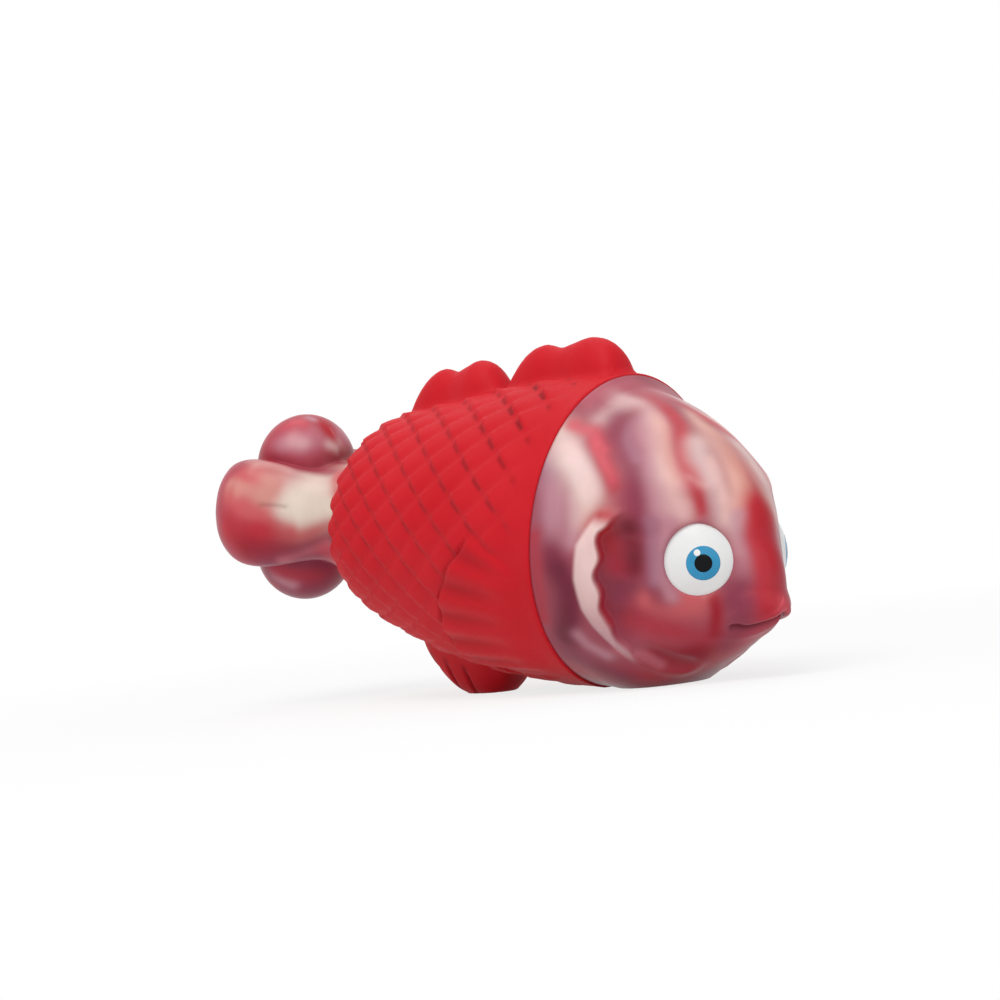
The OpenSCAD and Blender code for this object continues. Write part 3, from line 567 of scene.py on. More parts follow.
# Its strokes on the head: colour, half width in mm, and the stroke's places as (t, angle).
headStrokes = [
    ("pinkMauve", 2.2, [(.04, 84), (.03, 95), (.03, 103), (.02, 118)]),
    ("roseRed", 3.4, [(.06, 240), (.23, 240), (.35, 253), (.50, 262), (.62, 258)]),
    ("cheekMauve", 2.6, [(.06, 226), (.12, 232), (.20, 238)]),
    ("violet", 2.6, [(.01, 149), (.04, 155), (.055, 162), (.06, 169)]),
    ("mauve", 2.4, [(.05, 158), (.075, 167), (.09, 176)]),
    ("cheekMauve", 3.0, [(.085, 182), (.11, 190), (.12, 200), (.10, 212), (.06, 222)]),
    ("plum", 2.4, [(.10, 187), (.12, 196), (.115, 206), (.08, 216)]),
    ("roseRed", 1.6, [(.02, 178), (.034, 186), (.034, 196), (.02, 207)]),
    ("mauve", 1.6, [(.12, 160), (.145, 168), (.15, 175)]),
    ("mauve", 1.5, [(.13, 214), (.15, 219), (.20, 224)]),
    # the lilac patch on the crown by the seam is partly marbling and partly a painted highlight
    ("lilac", 2.2, [(.08, 105), (.10, 114), (.085, 122)]),
    ("cream", 3.4, [(.02, 137), (.045, 142), (.116, 149), (.174, 157.7), (.19, 163)]),
    ("flap", 1.9, [(.06, 141), (.116, 147), (.165, 154)]),
    ("plumRose", 3.2, [(.13, 119), (.159, 123.3), (.231, 132.6), (.281, 142.7), (.324, 152.7), (.35, 160)]),
    ("violet", 1.2, [(.17, 118), (.21, 126), (.26, 135)]),
    ("roseRed", 1.7, [(.03, 131), (.09, 128.5), (.16, 135), (.20, 144), (.235, 152)]),
    ("brightRose", 1.5, [(.035, 131), (.09, 129.6), (.15, 135)]),
    ("rose", 1.0, [(.15, 135), (.19, 142.5), (.225, 150)]),
    ("mauve", 2.2, [(.19, 111), (.206, 116), (.274, 126.8), (.319, 137.6), (.369, 145.8), (.39, 153)]),
    ("creamPink", 2.4, [(.12, 103), (.25, 113), (.304, 122), (.359, 133), (.406, 142.3), (.43, 148)]),
    ("peach", 1.4, [(.20, 107), (.27, 113), (.33, 124), (.38, 134)]),
    ("lineRed", 2.3, [(.10, 92), (.181, 96.5), (.274, 101.5), (.346, 111.3), (.396, 122), (.43, 132)]),
    ("plumRose", 1.3, [(.22, 90), (.30, 95), (.37, 103), (.41, 113)]),
    ("lilac", 3.0, [(.37, 104), (.419, 113), (.47, 121), (.52, 126), (.57, 131)]),
    ("creamPink", 1.2, [(.43, 110), (.48, 118), (.53, 124)]),
    ("peach", 2.6, [(.25, 84), (.329, 90.4), (.424, 92.8), (.509, 99), (.57, 109), (.60, 122)]),
    ("peachRose", 1.6, [(.30, 84), (.40, 86), (.50, 90), (.58, 99)]),
    ("roseRed", 1.8, [(.30, 78), (.40, 74), (.48, 62)]),
    ("lineRed", 2.6, [(.62, 92), (.67, 112), (.72, 137), (.77, 165), (.80, 190), (.80, 214)]),
    ("deepRed", 3.4, [(.50, 66), (.61, 76), (.70, 95), (.78, 118), (.84, 150), (.87, 190)]),
    ("lilac", 1.2, [(.60, 128), (.625, 140), (.65, 152)]),
    ("mauve", 1.7, [(.61, 124), (.635, 138), (.665, 155), (.67, 170)]),
    ("cheekMauve", 2.6, [(.665, 180), (.64, 198), (.69, 206), (.66, 222), (.585, 237), (.54, 244)]),
    ("cheekMauve", 3.4, [(.285, 185), (.265, 197), (.31, 192), (.285, 206)]),
    ("plumRose", 1.6, [(.30, 186), (.285, 196), (.30, 206)]),
    ("hollowRed", 3.2, [(.225, 166), (.245, 171), (.262, 180)]),
    ("hollowRed", 1.1, [(.235, 186), (.228, 196), (.24, 206)]),
    ("deepRed", 1.8, [(.222, 165), (.245, 170), (.255, 177)]),
    ("maroonDark", 2.4, [(.31, 167), (.33, 173), (.325, 180)]),
    ("salmon", 2.6, [(.36, 199), (.429, 200), (.505, 200)]),
    ("roseRed", 2.8, [(.30, 208), (.376, 213), (.45, 217), (.50, 226)]),
    ("salmon", 1.4, [(.45, 194), (.515, 194), (.56, 192)]),
    ("creamPink", 0.7, [(.53, 192), (.555, 191)]),
    ("streakRed", 1.5, [(.565, 196), (.565, 206), (.555, 216), (.54, 226)]),
    ("plumRose", 2.0, [(.375, 166), (.379, 177.4), (.386, 187), (.40, 195)]),
    ("violet", 1.4, [(.37, 160), (.375, 172), (.385, 186)]),
    ("mauve", 1.3, [(.408, 156), (.398, 170), (.403, 182), (.43, 193)]),
    ("streakRed", 3.0, [(.33, 231), (.40, 236), (.455, 239)]),
    ("maroon", 2.2, [(.34, 233), (.39, 237), (.44, 240)]),
    ("pinkMauve", 1.2, [(.24, 221), (.29, 228), (.32, 238)]),
    ("rose", 1.4, [(.95, 234), (.88, 262)]),
    ("hollowRed", 1.3, [(.442, 136), (.462, 140), (.475, 143)]),
    ("creamPink", 0.8, [(.41, 131), (.435, 131.5), (.455, 129)])]


strokeForm = {"spread": 1.25, "fall": 2.2, "cover": 0.97, "wanderWidth": 16, "patchWidth": 11, "patchy": 0.22}


def stroked(points, strokes, drift, sway=0.9):
    # lays the strokes over each other; their edges wander a little and their cover is patchy
    wander = np.stack([waves(points, strokeForm["wanderWidth"], drift + k) for k in range(3)], -1)
    moved = points + wander * sway
    colour = np.tile(np.array(shade["ground"]), (len(points), 1))
    for k, (name, half, line) in enumerate(strokes):
        away = nearestOn(moved, np.array(line, float))
        cover = np.exp(-(away / (half * strokeForm["spread"]))**strokeForm["fall"]) * strokeForm["cover"]
        patches = waves(points, strokeForm["patchWidth"], drift + 7 + k)
        cover = cover * np.clip(0.9 + strokeForm["patchy"] * patches, 0, 1)
        colour += (np.array(shade[name]) - colour) * cover[:, None]
    return colour


def headRings():
    # the rings from the nose to the seam, crowded at the gill cover's edge, and the ways out of them
    rows, n = headSkin["rows"], headSkin["around"]
    fine = np.linspace(0, 1, headSkin["crowdSteps"])
    weight = 1 + headSkin["crowding"] * bell(fine - headSkin["crowdAt"], headSkin["crowdWidth"])
    run = np.concatenate([[0], np.cumsum((weight[1:] + weight[:-1]) / 2)])
    stations = np.interp(np.linspace(run[-1], 0, rows + 1)[1:], run, fine)
    t = np.repeat(stations[:, None], n, 1)
    angle = np.repeat((360 * np.arange(n) / n)[None, :], rows, 0)
    plain = headPoint(t, angle)
    about = (np.roll(plain, -1, 1) - np.roll(plain, 1, 1)) / 2
    normal = np.cross(about, np.gradient(plain, axis=0))
    normal /= np.maximum(np.linalg.norm(normal, axis=2, keepdims=True), 1e-9)
    middle = plain[rows // 2]
    normal *= np.sign(np.sum(normal[rows // 2] * (middle - middle.mean(0))))
    return t, angle, plain, normal


def gillShape(t, flank):
    # the gill cover, a flap with a scalloped free edge, and the hollow behind it
    outer, inner = (np.interp(flank, *np.array(gill[key]).T) for key in ("outer", "inner"))
    scallops = np.cos(np.radians(flank) * gill["scallops"])
    inner = inner + gill["waver"] * scallops
    window = within(flank, gill["from"] - 2, gill["from"] + 9, gill["to"] - 16, gill["to"])
    rising = 0.35 * np.clip((t - outer) / (inner - outer), 0, 1)
    rising = rising + 0.65 * smooth(t, outer - 0.012, outer + 0.03)
    falling = 1 - smooth(t, inner - 0.001, inner + 0.014)
    hollow = window * within(flank, 157, 168, 200, 224)
    hollow = hollow * within(t, inner, inner + 0.016, inner + 0.03, inner + 0.15)
    flap = window * smooth(flank, 162, 169)
    flap = flap * within(t, outer - 0.012, outer + 0.006, inner - 0.002, inner + 0.008)
    lift = gill["rise"] * window * rising * falling
    return lift - gill["hollow"] * hollow * (1 + gill["foldDepth"] * scallops), flap, hollow


def eyeSeats(plain):
    # flatter temples, with the eyes on soft mounds and their pockets pressed in
    lift = np.zeros(plain.shape[:2])
    for side in (-1, 1):
        spot, level, up, out = eyeFrame(side)
        away = plain - spot
        across, high = away @ level, away @ up
        half = eye["width"] / 2 * (1 - eye["egg"] * high / 9)
        reach = np.hypot(across / half, high / (eye["height"] / 2))
        onSide = away @ out > -6
        lift -= headTrim["temple"] * bell(np.linalg.norm(away, axis=2), headTrim["templeReach"])
        lift += eye["mound"] * (1 - smooth(reach, 0.95, 1.7)) * onSide
        lift -= eye["pocket"] * (1 - smooth(reach, 0.84, 0.99)) * onSide
    return lift


def faceLines(plain, flank):
    # mouth line, lips and folds, alike on both sides, and how far each place is from the mouth line
    right = plain.copy()
    right[..., 1] = -abs(right[..., 1])
    right = right.reshape(-1, 3)
    corners = np.array(mouth["line"], float)
    fine, steps = np.linspace(0, 1, mouth["steps"]), np.linspace(0, 1, len(corners))
    line = headLine(np.stack([np.interp(fine, steps, values) for values in corners.T], -1))
    away = nearestOn(right, line).reshape(flank.shape)
    corner = np.linalg.norm(right - line[mouth["cornerAt"]], axis=1).reshape(flank.shape)
    x, y, z = np.moveaxis(plain, -1, 0)
    atFront = smooth(x, 34, 42)
    lift = -mouth["depth"] * bell(away, mouth["width"]) * (0.75 + 0.25 * atFront)
    lift -= mouth["corner"] * bell(corner, mouth["cornerWidth"])
    lips = bell(away - mouth["lipAway"], mouth["lipWidth"]) * (0.3 + 0.7 * atFront)
    lift += mouth["lip"] * lips * smooth(flank, 224, 236)
    lift += mouth["lowerLip"] * bell(y, 8.0) * bell(z + 11.0, 3.0) * smooth(x, 36, 42)
    for places, ridges in faceFolds.values():
        fold = nearestOn(right, headLine(places)).reshape(flank.shape)
        for height, offset, width in ridges:
            lift += height * bell(fold - offset, width)
    return lift, away


def buildHead():
    t, angle, plain, normal = headRings()
    flank = folded(angle)

    # trims to the solid's outline: a flatter forehead, a shorter snout and a deeper chin
    up = np.sin(np.radians(angle))
    x, z = plain[..., 0], plain[..., 2]
    lift = -curveAt(headTrim["crown"], t)[..., 1] * smooth(up, 0.45, 0.9)
    lift -= headTrim["snout"] * smooth(x, 33, 43) * within(z, -13, -6.5, 3, 11)
    lift += headTrim["chin"] * within(t, 0.05, 0.22, 0.2, 0.42) * smooth(-up, 0.72, 0.97)
    gillLift, flap, hollow = gillShape(t, flank)
    faceLift, fromMouth = faceLines(plain, flank)
    lift += gillLift + eyeSeats(plain) + faceLift
    outer = plain + normal * lift[..., None]

    # the collar goes into the body, and the inside is hollow
    wall, deep, angles = body["wall"], headSkin["collar"], angle[0]
    outside = wall + headSkin["collarGap"]
    collar = [(-0.05, outside), (-deep / 2, outside), (-deep, outside), (-deep, outside + wall),
              (-deep / 2, outside + wall)]
    collar = [bodyPoint(along, angles, -inset) for along, inset in collar]
    depths = np.arange(headSkin["innerRows"]) / headSkin["innerRows"]
    inside = [headPoint(depth, angles, wall) for depth in depths]
    nose, innerNose = np.tile(outer[0].mean(0), (len(angles), 1)), headPoint(1.0, angles, wall)
    skin = np.array([nose] + list(outer) + collar + inside + [innerNose])
    obj, ring, column = skinFromSphere("marbledHead", skin)

    def onSkin(values):
        whole = np.zeros(skin.shape[:2])
        whole[1:len(outer) + 1] = values
        return whole[ring, column]

    # the left side carries the right side's strokes, shifted a little
    strokes = [(name, half, headLine(line)) for name, half, line in headStrokes]
    fish = toFish(placeOf(obj))
    along, above = (waves(fish, headSkin["leftWaves"], drift) * headSkin["leftSway"] for drift in (91, 92))
    leftSide = fish * np.array((1, -1, 1)) + np.array(headSkin["leftShift"])
    leftSide += np.stack([along, 0 * along, above], -1)
    share = smooth(fish[:, 1], -1.0, 5.0)[:, None]
    colour = stroked(fish, strokes, 11) * (1 - share) + stroked(leftSide, strokes, 11) * share
    onFlap = (onSkin(flap) * np.clip(0.93 + 0.1 * waves(fish, 7, 61), 0, 1))[:, None]
    low = gill["lowTone"] * smooth(-fish[:, 2], 5, 19)[:, None]
    flapTone = np.array(shade["flap"]) * (1 - low) + np.array(shade["mauve"]) * low
    colour = colour * (1 - onFlap) + flapTone * onFlap
    paint(obj, "marbling", np.clip(colour, 0, 1))
    # painted shade along the mouth line and in the gill hollow behind the flap
    shadedCrease = mouth["lineShade"] * bell(fromMouth, mouth["width"] * 0.8) + gill["hollowShade"] * hollow
    paint(obj, "shadedCrease", onSkin(np.clip(shadedCrease, 0, 1)))
    keepAboveFloor(obj)
    return obj


marbledHead = buildHead()
print("head sculpted")

# the marbled tail: two side lobes that flare out of the neck, and a round knob above and below.
# The profiles run from the middle of the rear to the neck's end, as (share, x, reach).
tail = {"middle": (-99.5, 0.0, 0.0), "centreZ": -6.4, "plugGap": 0.15, "rows": 116, "around": 330,
        "innerShares": (0.0001, .06, .12, .18, .26, .34, .42, .5, .58, .66, .75, .85, .95), "insetTo": -88,
        "knobSize": (11.2, 11.6, 12.0), "knobX": -99.9, "knobRise": 9.6, "knobBlend": 0.8,
        "shadedCrease": [(-92.3, -21.5, -3.4), (-90.1, -19.8, -3.4), (-87.6, -18.0, -3.6)], "creaseDepth": 0.4,
        "creaseWidth": 0.55, "creaseShadeTone": 0.22, "leftShift": (1.5, 0, -1.2), "sway": 1.7, "leftSway": 1.9,
        "side": [(0, -108.8, 0), (.10, -109.4, 6), (.20, -110.2, 12), (.30, -109.6, 18), (.38, -107.0, 21.8),
                 (.46, -102.6, 24.0), (.54, -98.0, 24.2), (.62, -93.6, 22.6), (.70, -89.4, 19.6),
                 (.79, -84.8, 16.3), (.89, -80.2, 13.9), (1, -76, 12.4)],
        "waist": [(0, -108.8, 0), (.10, -108.6, 4), (.20, -107.6, 7.6), (.30, -105.6, 10.0),
                  (.38, -103.2, 11.0), (.46, -100.4, 11.4), (.54, -97, 11.4), (.62, -93.2, 11.4),
                  (.70, -89.4, 11.6), (.79, -85.4, 12.0), (.89, -81, 12.7), (1, -76, 13.2)],
        "spread": [(0, 1), (14, .98), (24, .92), (32, .82), (38, .66), (44, .43), (50, .22), (57, .07),
                   (64, .01), (72, 0), (90, 0)]}


def tailPoint(share, angle, inset=0.0):
    fromSide = np.minimum(angle % 180, 180 - angle % 180)
    weight = curveAt(tail["spread"], fromSide)[..., 1:]
    side, waist = curveAt(tail["side"], share)[..., 1:], curveAt(tail["waist"], share)[..., 1:]
    x, reach = np.moveaxis(waist + weight * (side - waist), -1, 0)
    a = np.radians(angle)
    middle = np.array(tail["middle"])
    way = np.stack([x, reach * np.cos(a), reach * np.sin(a)], -1) - middle
    far = np.linalg.norm(way, axis=-1)
    way /= far[..., None]
    for up in (1, -1):
        # the knob above or below, met from the middle of the tail
        size = np.array(tail["knobSize"])
        start, step = (middle - np.array((tail["knobX"], 0, up * tail["knobRise"]))) / size, way / size
        ahead, along = np.sum(step * step, -1), np.sum(step * start, -1)
        rest = along**2 - ahead * (np.sum(start * start) - 1)
        reached = np.where(rest > 0, (np.sqrt(np.maximum(rest, 0)) - along) / ahead, 0)
        far = softMax(far, reached, tail["knobBlend"])
    # the neck's end fits the body's rear opening
    neck = smooth(share, 0.8, 1.0)[..., None]
    end = bodyPoint(-body["length"], angle, -body["wall"] - tail["plugGap"])
    end = np.stack([x, end[..., 1], end[..., 2] - tail["centreZ"]], -1)
    points = (middle + way * far[..., None]) * (1 - neck) + end * neck
    if inset:
        out = points - np.array((tail["insetTo"], 0, 0))
        points = points - out / np.linalg.norm(out, axis=-1, keepdims=True) * inset
    return points + np.array((0, 0, tail["centreZ"]))


# Its strokes on the tail, with their places in mm in the fish's own frame.
tailStrokes = [
    ("rose", 7.0, [(-99, -24, -3), (-97, -23, -12)]),
    ("roseRed", 9.0, [(-100, -3, 12), (-98, 4, 12)]), ("plumRose", 9.0, [(-100, -3, -24), (-98, 4, -24)]),
    ("magenta", 3.2, [(-104.5, -21, 3), (-105, -23, -5.6), (-104.6, -22.5, -12), (-101, -19, -17),
                      (-97, -14, -19)]),
    ("salmon", 3.2, [(-99.5, -23.5, -1), (-96.6, -21.7, 2.6), (-93.5, -19, 4)]),
    ("peachRose", 2.2, [(-101, -22.5, 0), (-98, -22.6, 1.5), (-95.5, -20.8, 3.4)]),
    ("peach", 1.7, [(-99.3, -15.5, 6.4), (-95.4, -16.6, 5.6), (-92, -15, 4.6)]),
    ("roseRed", 4.2, [(-101, -24.1, -8.6), (-95.2, -23, -11), (-91, -21, -11)]),
    ("lineRed", 2.8, [(-101, -24.1, -9.6), (-96.5, -23, -11.2), (-93, -21.6, -11.6)]),
    ("streakRed", 2.4, [(-95.4, -21.6, -14.4), (-88.5, -17.8, -12.4), (-82.7, -14.2, -11.2),
                        (-76, -12, -10)]),
    ("plumRose", 3.4, [(-93, -17.5, -16.7), (-85.9, -14.5, -14.4), (-79, -12.5, -12.4)]),
    ("pinkMauve", 1.4, [(-90, -16, -15.6), (-84, -13.6, -13.8), (-79, -11.5, -12.6)]),
    ("rose", 2.2, [(-80, -11.0, -14), (-79.6, -8, -17), (-78, -3, -19)]),
    ("creamPink", 2.8, [(-90.2, -18.8, -1.0), (-88.4, -17.4, .6), (-85.3, -15.8, .6)]),
    ("bone", 4.5, [(-85.6, -15.8, -1.2), (-83.2, -14, -1.4), (-78, -12.6, -1.4)]),
    ("bone", 3.2, [(-88.4, -18.3, -3.4), (-84.5, -16.1, -4.2), (-78, -13, -3)]),
    ("salmon", 2.5, [(-100, -23.7, -1.8), (-95, -22.8, -3.8), (-92.8, -21.6, -4.4)]),
    ("salmon", 1.8, [(-98.5, -20.6, 4), (-95.3, -20.6, 2.6), (-93.4, -19.4, 2.8)]),
    ("peachRose", 1.7, [(-97.6, -22.9, -.4), (-95.4, -22.2, 0)]),
    ("peachRose", 1.9, [(-92.8, -21, -1.8), (-91.4, -19.6, .4), (-91.4, -18.2, 2.6)]),
    ("salmon", 1.5, [(-96, -22.4, -5.6), (-92, -20.7, -7.2), (-87, -17.4, -7.6)]),
    ("lineRed", 1.7, [(-92.5, -21, -9.2), (-86.9, -17.4, -9.2), (-82.2, -14.8, -8), (-77, -13, -6.4)]),
    ("salmon", 1.3, [(-83, -7, 4.6), (-80.2, -10.5, 2.2), (-77, -12, .4)]),
    ("peach", 2.4, [(-86.5, -2.6, 5.6), (-82.2, -5.4, 5.2), (-77, -6, 6)]),
    ("magenta", 4.4, [(-102, -9.6, 8), (-97.6, -11, 6.6), (-92, -9, 7)]),
    ("roseRed", 2.6, [(-103, -8.8, 10.6), (-99.4, -9.4, 10.6)]),
    ("mauve", 3.0, [(-96.4, -9.6, 9.6), (-93.8, -8.2, 9.4), (-92.4, -6, 10.4)]),
    # the pale patch at the upper knob's centre is partly marbling and partly a painted highlight
    ("creamPink", 1.5, [(-96.4, -9, 11), (-94.6, -8.4, 10.2), (-93.2, -7.6, 9.2)]),
    ("pinkMauve", 1.6, [(-98.5, -8.8, 12.4), (-94.6, -8.0, 12), (-92.4, -5, 11.6)]),
    ("plumRose", 4.0, [(-104, 2, 9), (-101, 8, 8), (-95, 8, 8)]),
    ("streakRed", 2.0, [(-106.5, -6, 6.6), (-104.0, -10.5, 6.8), (-99, -12.6, 5.6)]),
    ("maroon", 1.9, [(-97, -12.4, 5.2), (-92.4, -11.6, 4.6), (-89.4, -8.6, 4.6), (-88.2, -3.5, 5.2),
                     (-89, 3, 7)]),
    ("deepRed", 1.7, [(-95, -1, 14.4), (-92.2, -.6, 13), (-91.2, 1.6, 11)]),
    ("rose", 1.2, [(-101.1, -8.3, 12.5), (-98.6, -5.7, 14.2), (-95.5, -6, 13.6)]),
    ("mauve", 1.1, [(-98.4, -2.6, 14.8), (-96.4, -2.2, 14.8)]),
    # a painted highlight: a small lilac spot on the upper knob's front side
    ("lilac", 1.2, [(-90.5, -1.6, 9), (-89.9, .4, 8.6)]),
    ("magenta", 3.0, [(-95.4, -9.2, -21.6), (-91.6, -5.7, -21.6), (-89.7, -2, -20.7)]),
    ("plumRose", 2.6, [(-96, -11.4, -18.6), (-92.5, -8.6, -18.2), (-89.4, -4.6, -17.8)]),
    ("plumRose", 3.0, [(-95, -7.4, -22.6), (-91.4, -2.3, -23.4)]),
    ("mauve", 1.5, [(-99, -9.3, -23.2), (-95, -7, -24.6)]),
    ("roseRed", 1.7, [(-98, -10.2, -21), (-94, -8, -22), (-91, -4, -22)]),
    ("maroon", 4.0, [(-110, -4, -12), (-109, -14, -4), (-108, -4, 3)]),
    ("mauve", 4.0, [(-108, 8, -12), (-110, 16, -6)]), ("salmon", 2.4, [(-110.4, -11, -7), (-109, -18, -9)]),
    ("plumRose", 2.4, [(-109, -16, 2), (-109.6, -9, 0)]),
    ("creamPink", 2.2, [(-109.5, -13.5, -12), (-109.6, -8, -9), (-109, -2, -5), (-108.6, 3, -4)]),
    ("rose", 1.6, [(-109, -17, -3), (-109.8, -10, -3.4), (-109, -3, -9.5), (-108, 3, -13)]),
    ("magenta", 2.2, [(-108.4, -3, 2), (-110, -4.6, 8), (-108, -7.6, 12), (-104, -8, 15)]),
    ("cream", 1.3, [(-110.4, -1.6, 7), (-109, -3, 11.6), (-105, -4, 15.4)]),
    ("streakRed", 1.6, [(-109.6, 1, -14), (-110.4, -3.6, -18), (-107, -7, -23), (-102, -8, -26)]),
    ("lilac", 1.6, [(-110.2, -5, -14), (-109.4, -8.4, -18), (-106, -10, -20)])]


def buildTail():
    wall, angles = body["wall"], 360 * np.arange(tail["around"]) / tail["around"]
    gap = wall + tail["plugGap"]
    plug = [(x, gap + wall) for x in (-70.0, -65.0, -60.0)] + [(x, gap) for x in (-60.0, -64.0, -69.0)]
    rows = [tailPoint(share, angles, wall) for share in tail["innerShares"]]
    rows += [bodyPoint(x, angles, -inset) for x, inset in plug]
    first = len(rows)
    rows += [tailPoint(share, angles) for share in np.linspace(0, 1, tail["rows"] + 1)[::-1]]
    for pole in (rows[0], rows[-1]):
        pole[:] = pole.mean(0)
    skin = np.array(rows)
    creaseShading = np.zeros(skin.shape[:2])
    for side in (-1, 1):
        line = np.array(tail["shadedCrease"]) * np.array((1, -side, 1))
        away = nearestOn(skin[first:].reshape(-1, 3), line).reshape(-1, len(angles))
        # the tail's fold is pressed in and darkened with painted shade
        groove = bell(away, tail["creaseWidth"])
        skin[first:, :, 1] -= side * tail["creaseDepth"] * groove
        creaseShading[first:] += tail["creaseShadeTone"] * groove
    obj, ring, column = skinFromSphere("marbledTail", skin)
    fish = toFish(placeOf(obj))
    leftSide = fish * np.array((1, -1, 1)) + np.array(tail["leftShift"])
    share = smooth(fish[:, 1] + waves(fish, 9, 77), -1.5, 1.5)[:, None]
    colour = stroked(fish, tailStrokes, 31, tail["sway"]) * (1 - share)
    colour += stroked(leftSide, tailStrokes, 41, tail["leftSway"]) * share
    paint(obj, "marbling", np.clip(colour, 0, 1))
    paint(obj, "shadedCrease", np.clip(creaseShading[ring, column], 0, 1))
    return obj


marbledTail = buildTail()
print("tail sculpted")

# the eyes: white domes with thin round layers of paint on them
eyeSphere = {"segments": 96, "rings": 48, "radius": 0.01}
# Each layer is as (width, place on the dome, height over it, slot).
eyeLayers = {"Iris": (7.1, (0.085, -0.055), 0.05, "iris_blue"),
             "Pupil": (3.8, (0.085, -0.055), 0.09, "pupil_black"),
             "Glint": (1.4, (-0.02, 0.108), 0.12, "glint_white")}


def eyePiece(name, side, shapeIt):
    nothingSelected()
    bpy.ops.mesh.primitive_uv_sphere_add(segments=eyeSphere["segments"], ring_count=eyeSphere["rings"],
                                         radius=eyeSphere["radius"])
    obj = justAdded(name)
    co = placeOf(obj) / eyeSphere["radius"]
    polar = np.degrees(np.arccos(np.clip(co[:, 2], -1, 1)))
    local = shapeIt(polar, np.arctan2(co[:, 1], co[:, 0]))
    spot, level, up, out = eyeFrame(-1)
    places = spot + local[:, :1] * level + local[:, 1:2] * up + local[:, 2:] * out
    if side > 0:
        places[:, 1] *= -1
    setPlaces(obj, toRow(places))
    if side > 0:
        bpy.ops.object.mode_set(mode="EDIT")
        bpy.ops.mesh.select_all(action="SELECT")
        bpy.ops.mesh.flip_normals()
        bpy.ops.object.mode_set(mode="OBJECT")
    bpy.ops.object.shade_smooth()
    return obj


def whiteShape(polar, turn):
    # the dome to 70 degrees, its rounded edge to 90, the wall to 110, and the hidden back
    reach = np.interp(polar, *np.array(eye["edgeReach"]).T)
    y = eye["height"] / 2 * reach * np.sin(turn)
    x = eye["width"] / 2 * (1 - eye["egg"] * np.sin(turn)) * reach * np.cos(turn)
    dome = eye["rise"] - eye["domeRadius"] + np.sqrt(eye["domeRadius"]**2 - np.hypot(x, y)**2)
    z = np.maximum(dome - np.interp(polar, *np.array(eye["edgeFall"]).T), -eye["back"])
    return np.stack([x, y, np.where(polar > 110, -eye["back"], z)], -1)


def layerShape(across, place, stand):
    # a lens that follows the dome, turned to its place on it
    limit = math.degrees(math.asin(across / 2 / eye["domeRadius"]))
    tiltX, tiltY = math.asin(place[0]), -math.asin(place[1])

    def shapeIt(polar, turn):
        lens = np.radians(np.where(polar <= 90, polar, (180 - polar) * 0.98) / 90 * limit)
        r = eye["domeRadius"] + np.interp(polar, (84, 90, 100), (stand, stand * 0.3, -eye["paintDepth"]))
        x, y, z = r * np.sin(lens) * np.cos(turn), r * np.sin(lens) * np.sin(turn), r * np.cos(lens)
        y, z = y * math.cos(tiltY) - z * math.sin(tiltY), y * math.sin(tiltY) + z * math.cos(tiltY)
        x, z = x * math.cos(tiltX) + z * math.sin(tiltX), -x * math.sin(tiltX) + z * math.cos(tiltX)
        return np.stack([x, y, z + eye["rise"] - eye["domeRadius"]], -1)
    return shapeIt


eyePieces = []
for side, word in ((-1, "right"), (1, "left")):
    eyePieces.append((eyePiece(word + "EyeWhite", side, whiteShape), word + "_eye_white", "eye_white"))
    for name, (across, place, stand, slotName) in eyeLayers.items():
        obj = eyePiece(word + name, side, layerShape(across, place, stand))
        eyePieces.append((obj, word + "_" + name.lower(), slotName))
print("eyes set")


# finishes
def newMaterial(name):
    m = bpy.data.materials.new(name)
    m.use_nodes = True
    return m, m.node_tree, m.node_tree.nodes["Principled BSDF"].inputs


def feed(tree, socket, value):
    # a number, a vector, a colour or another node's output goes into the socket
    if isinstance(value, bpy.types.NodeSocket):
        tree.links.new(value, socket)
    elif socket.type == "RGBA":
        socket.default_value = (*value, 1)
    else:
        socket.default_value = value


def addNode(tree, kind, inputs=(), **settings):
    node = tree.nodes.new("ShaderNode" + kind)
    for name, value in settings.items():
        setattr(node, name, value)
    for name, value in dict(inputs).items():
        feed(tree, node.inputs[name], value)
    return node


def painted(tree, name, output="Fac"):
    return addNode(tree, "Attribute", attribute_name=name).outputs[output]


def addNoise(tree, scale, detail=3, stretch=(1, 1, 1)):
    # noise in the fish's own directions
    where = addNode(tree, "TexCoord").outputs["Object"]
    turn = (0, math.radians(stance["pitch"]), 0)
    turned = addNode(tree, "Mapping", {"Vector": where, "Scale": stretch, "Rotation": turn}).outputs["Vector"]
    return addNode(tree, "TexNoise", {"Vector": turned, "Scale": scale, "Detail": detail}).outputs["Fac"]


def ramp(tree, source, stops):
    node = addNode(tree, "ValToRGB", {"Fac": source})
    marks = node.color_ramp.elements
    for k in (0, -1):
        marks[k].position, marks[k].color = stops[k][0], (*stops[k][1], 1)
    for at, colour in stops[1:-1]:
        marks.new(at).color = (*colour, 1)
    return node.outputs["Color"]


def blendColour(tree, kind, share, a, b):
    mix = addNode(tree, "Mix", {"Factor": share, "A": a, "B": b}, data_type="RGBA", blend_type=kind)
    return mix.outputs["Result"]


def mathNode(tree, kind, a, b=0.5, clamp=False):
    node = addNode(tree, "Math", operation=kind, use_clamp=clamp)
    for socket, value in zip(node.inputs, (a, b)):
        feed(tree, socket, value)
    return node.outputs[0]


def ease(tree, source, low, high, start=0.0, end=1.0, kind="SMOOTHSTEP"):
    ends = {"Value": source, "From Min": low, "From Max": high, "To Min": start, "To Max": end}
    return addNode(tree, "MapRange", ends, interpolation_type=kind).outputs["Result"]


def roughen(tree, inputs, source, low, high):
    feed(tree, inputs["Roughness"], ramp(tree, source, [(0.2, (low,) * 3), (0.8, (high,) * 3)]))


def addBump(tree, inputs, height, strength, distance):
    bumps = addNode(tree, "Bump", {"Height": height, "Strength": strength, "Distance": distance})
    feed(tree, inputs["Normal"], bumps.outputs["Normal"])
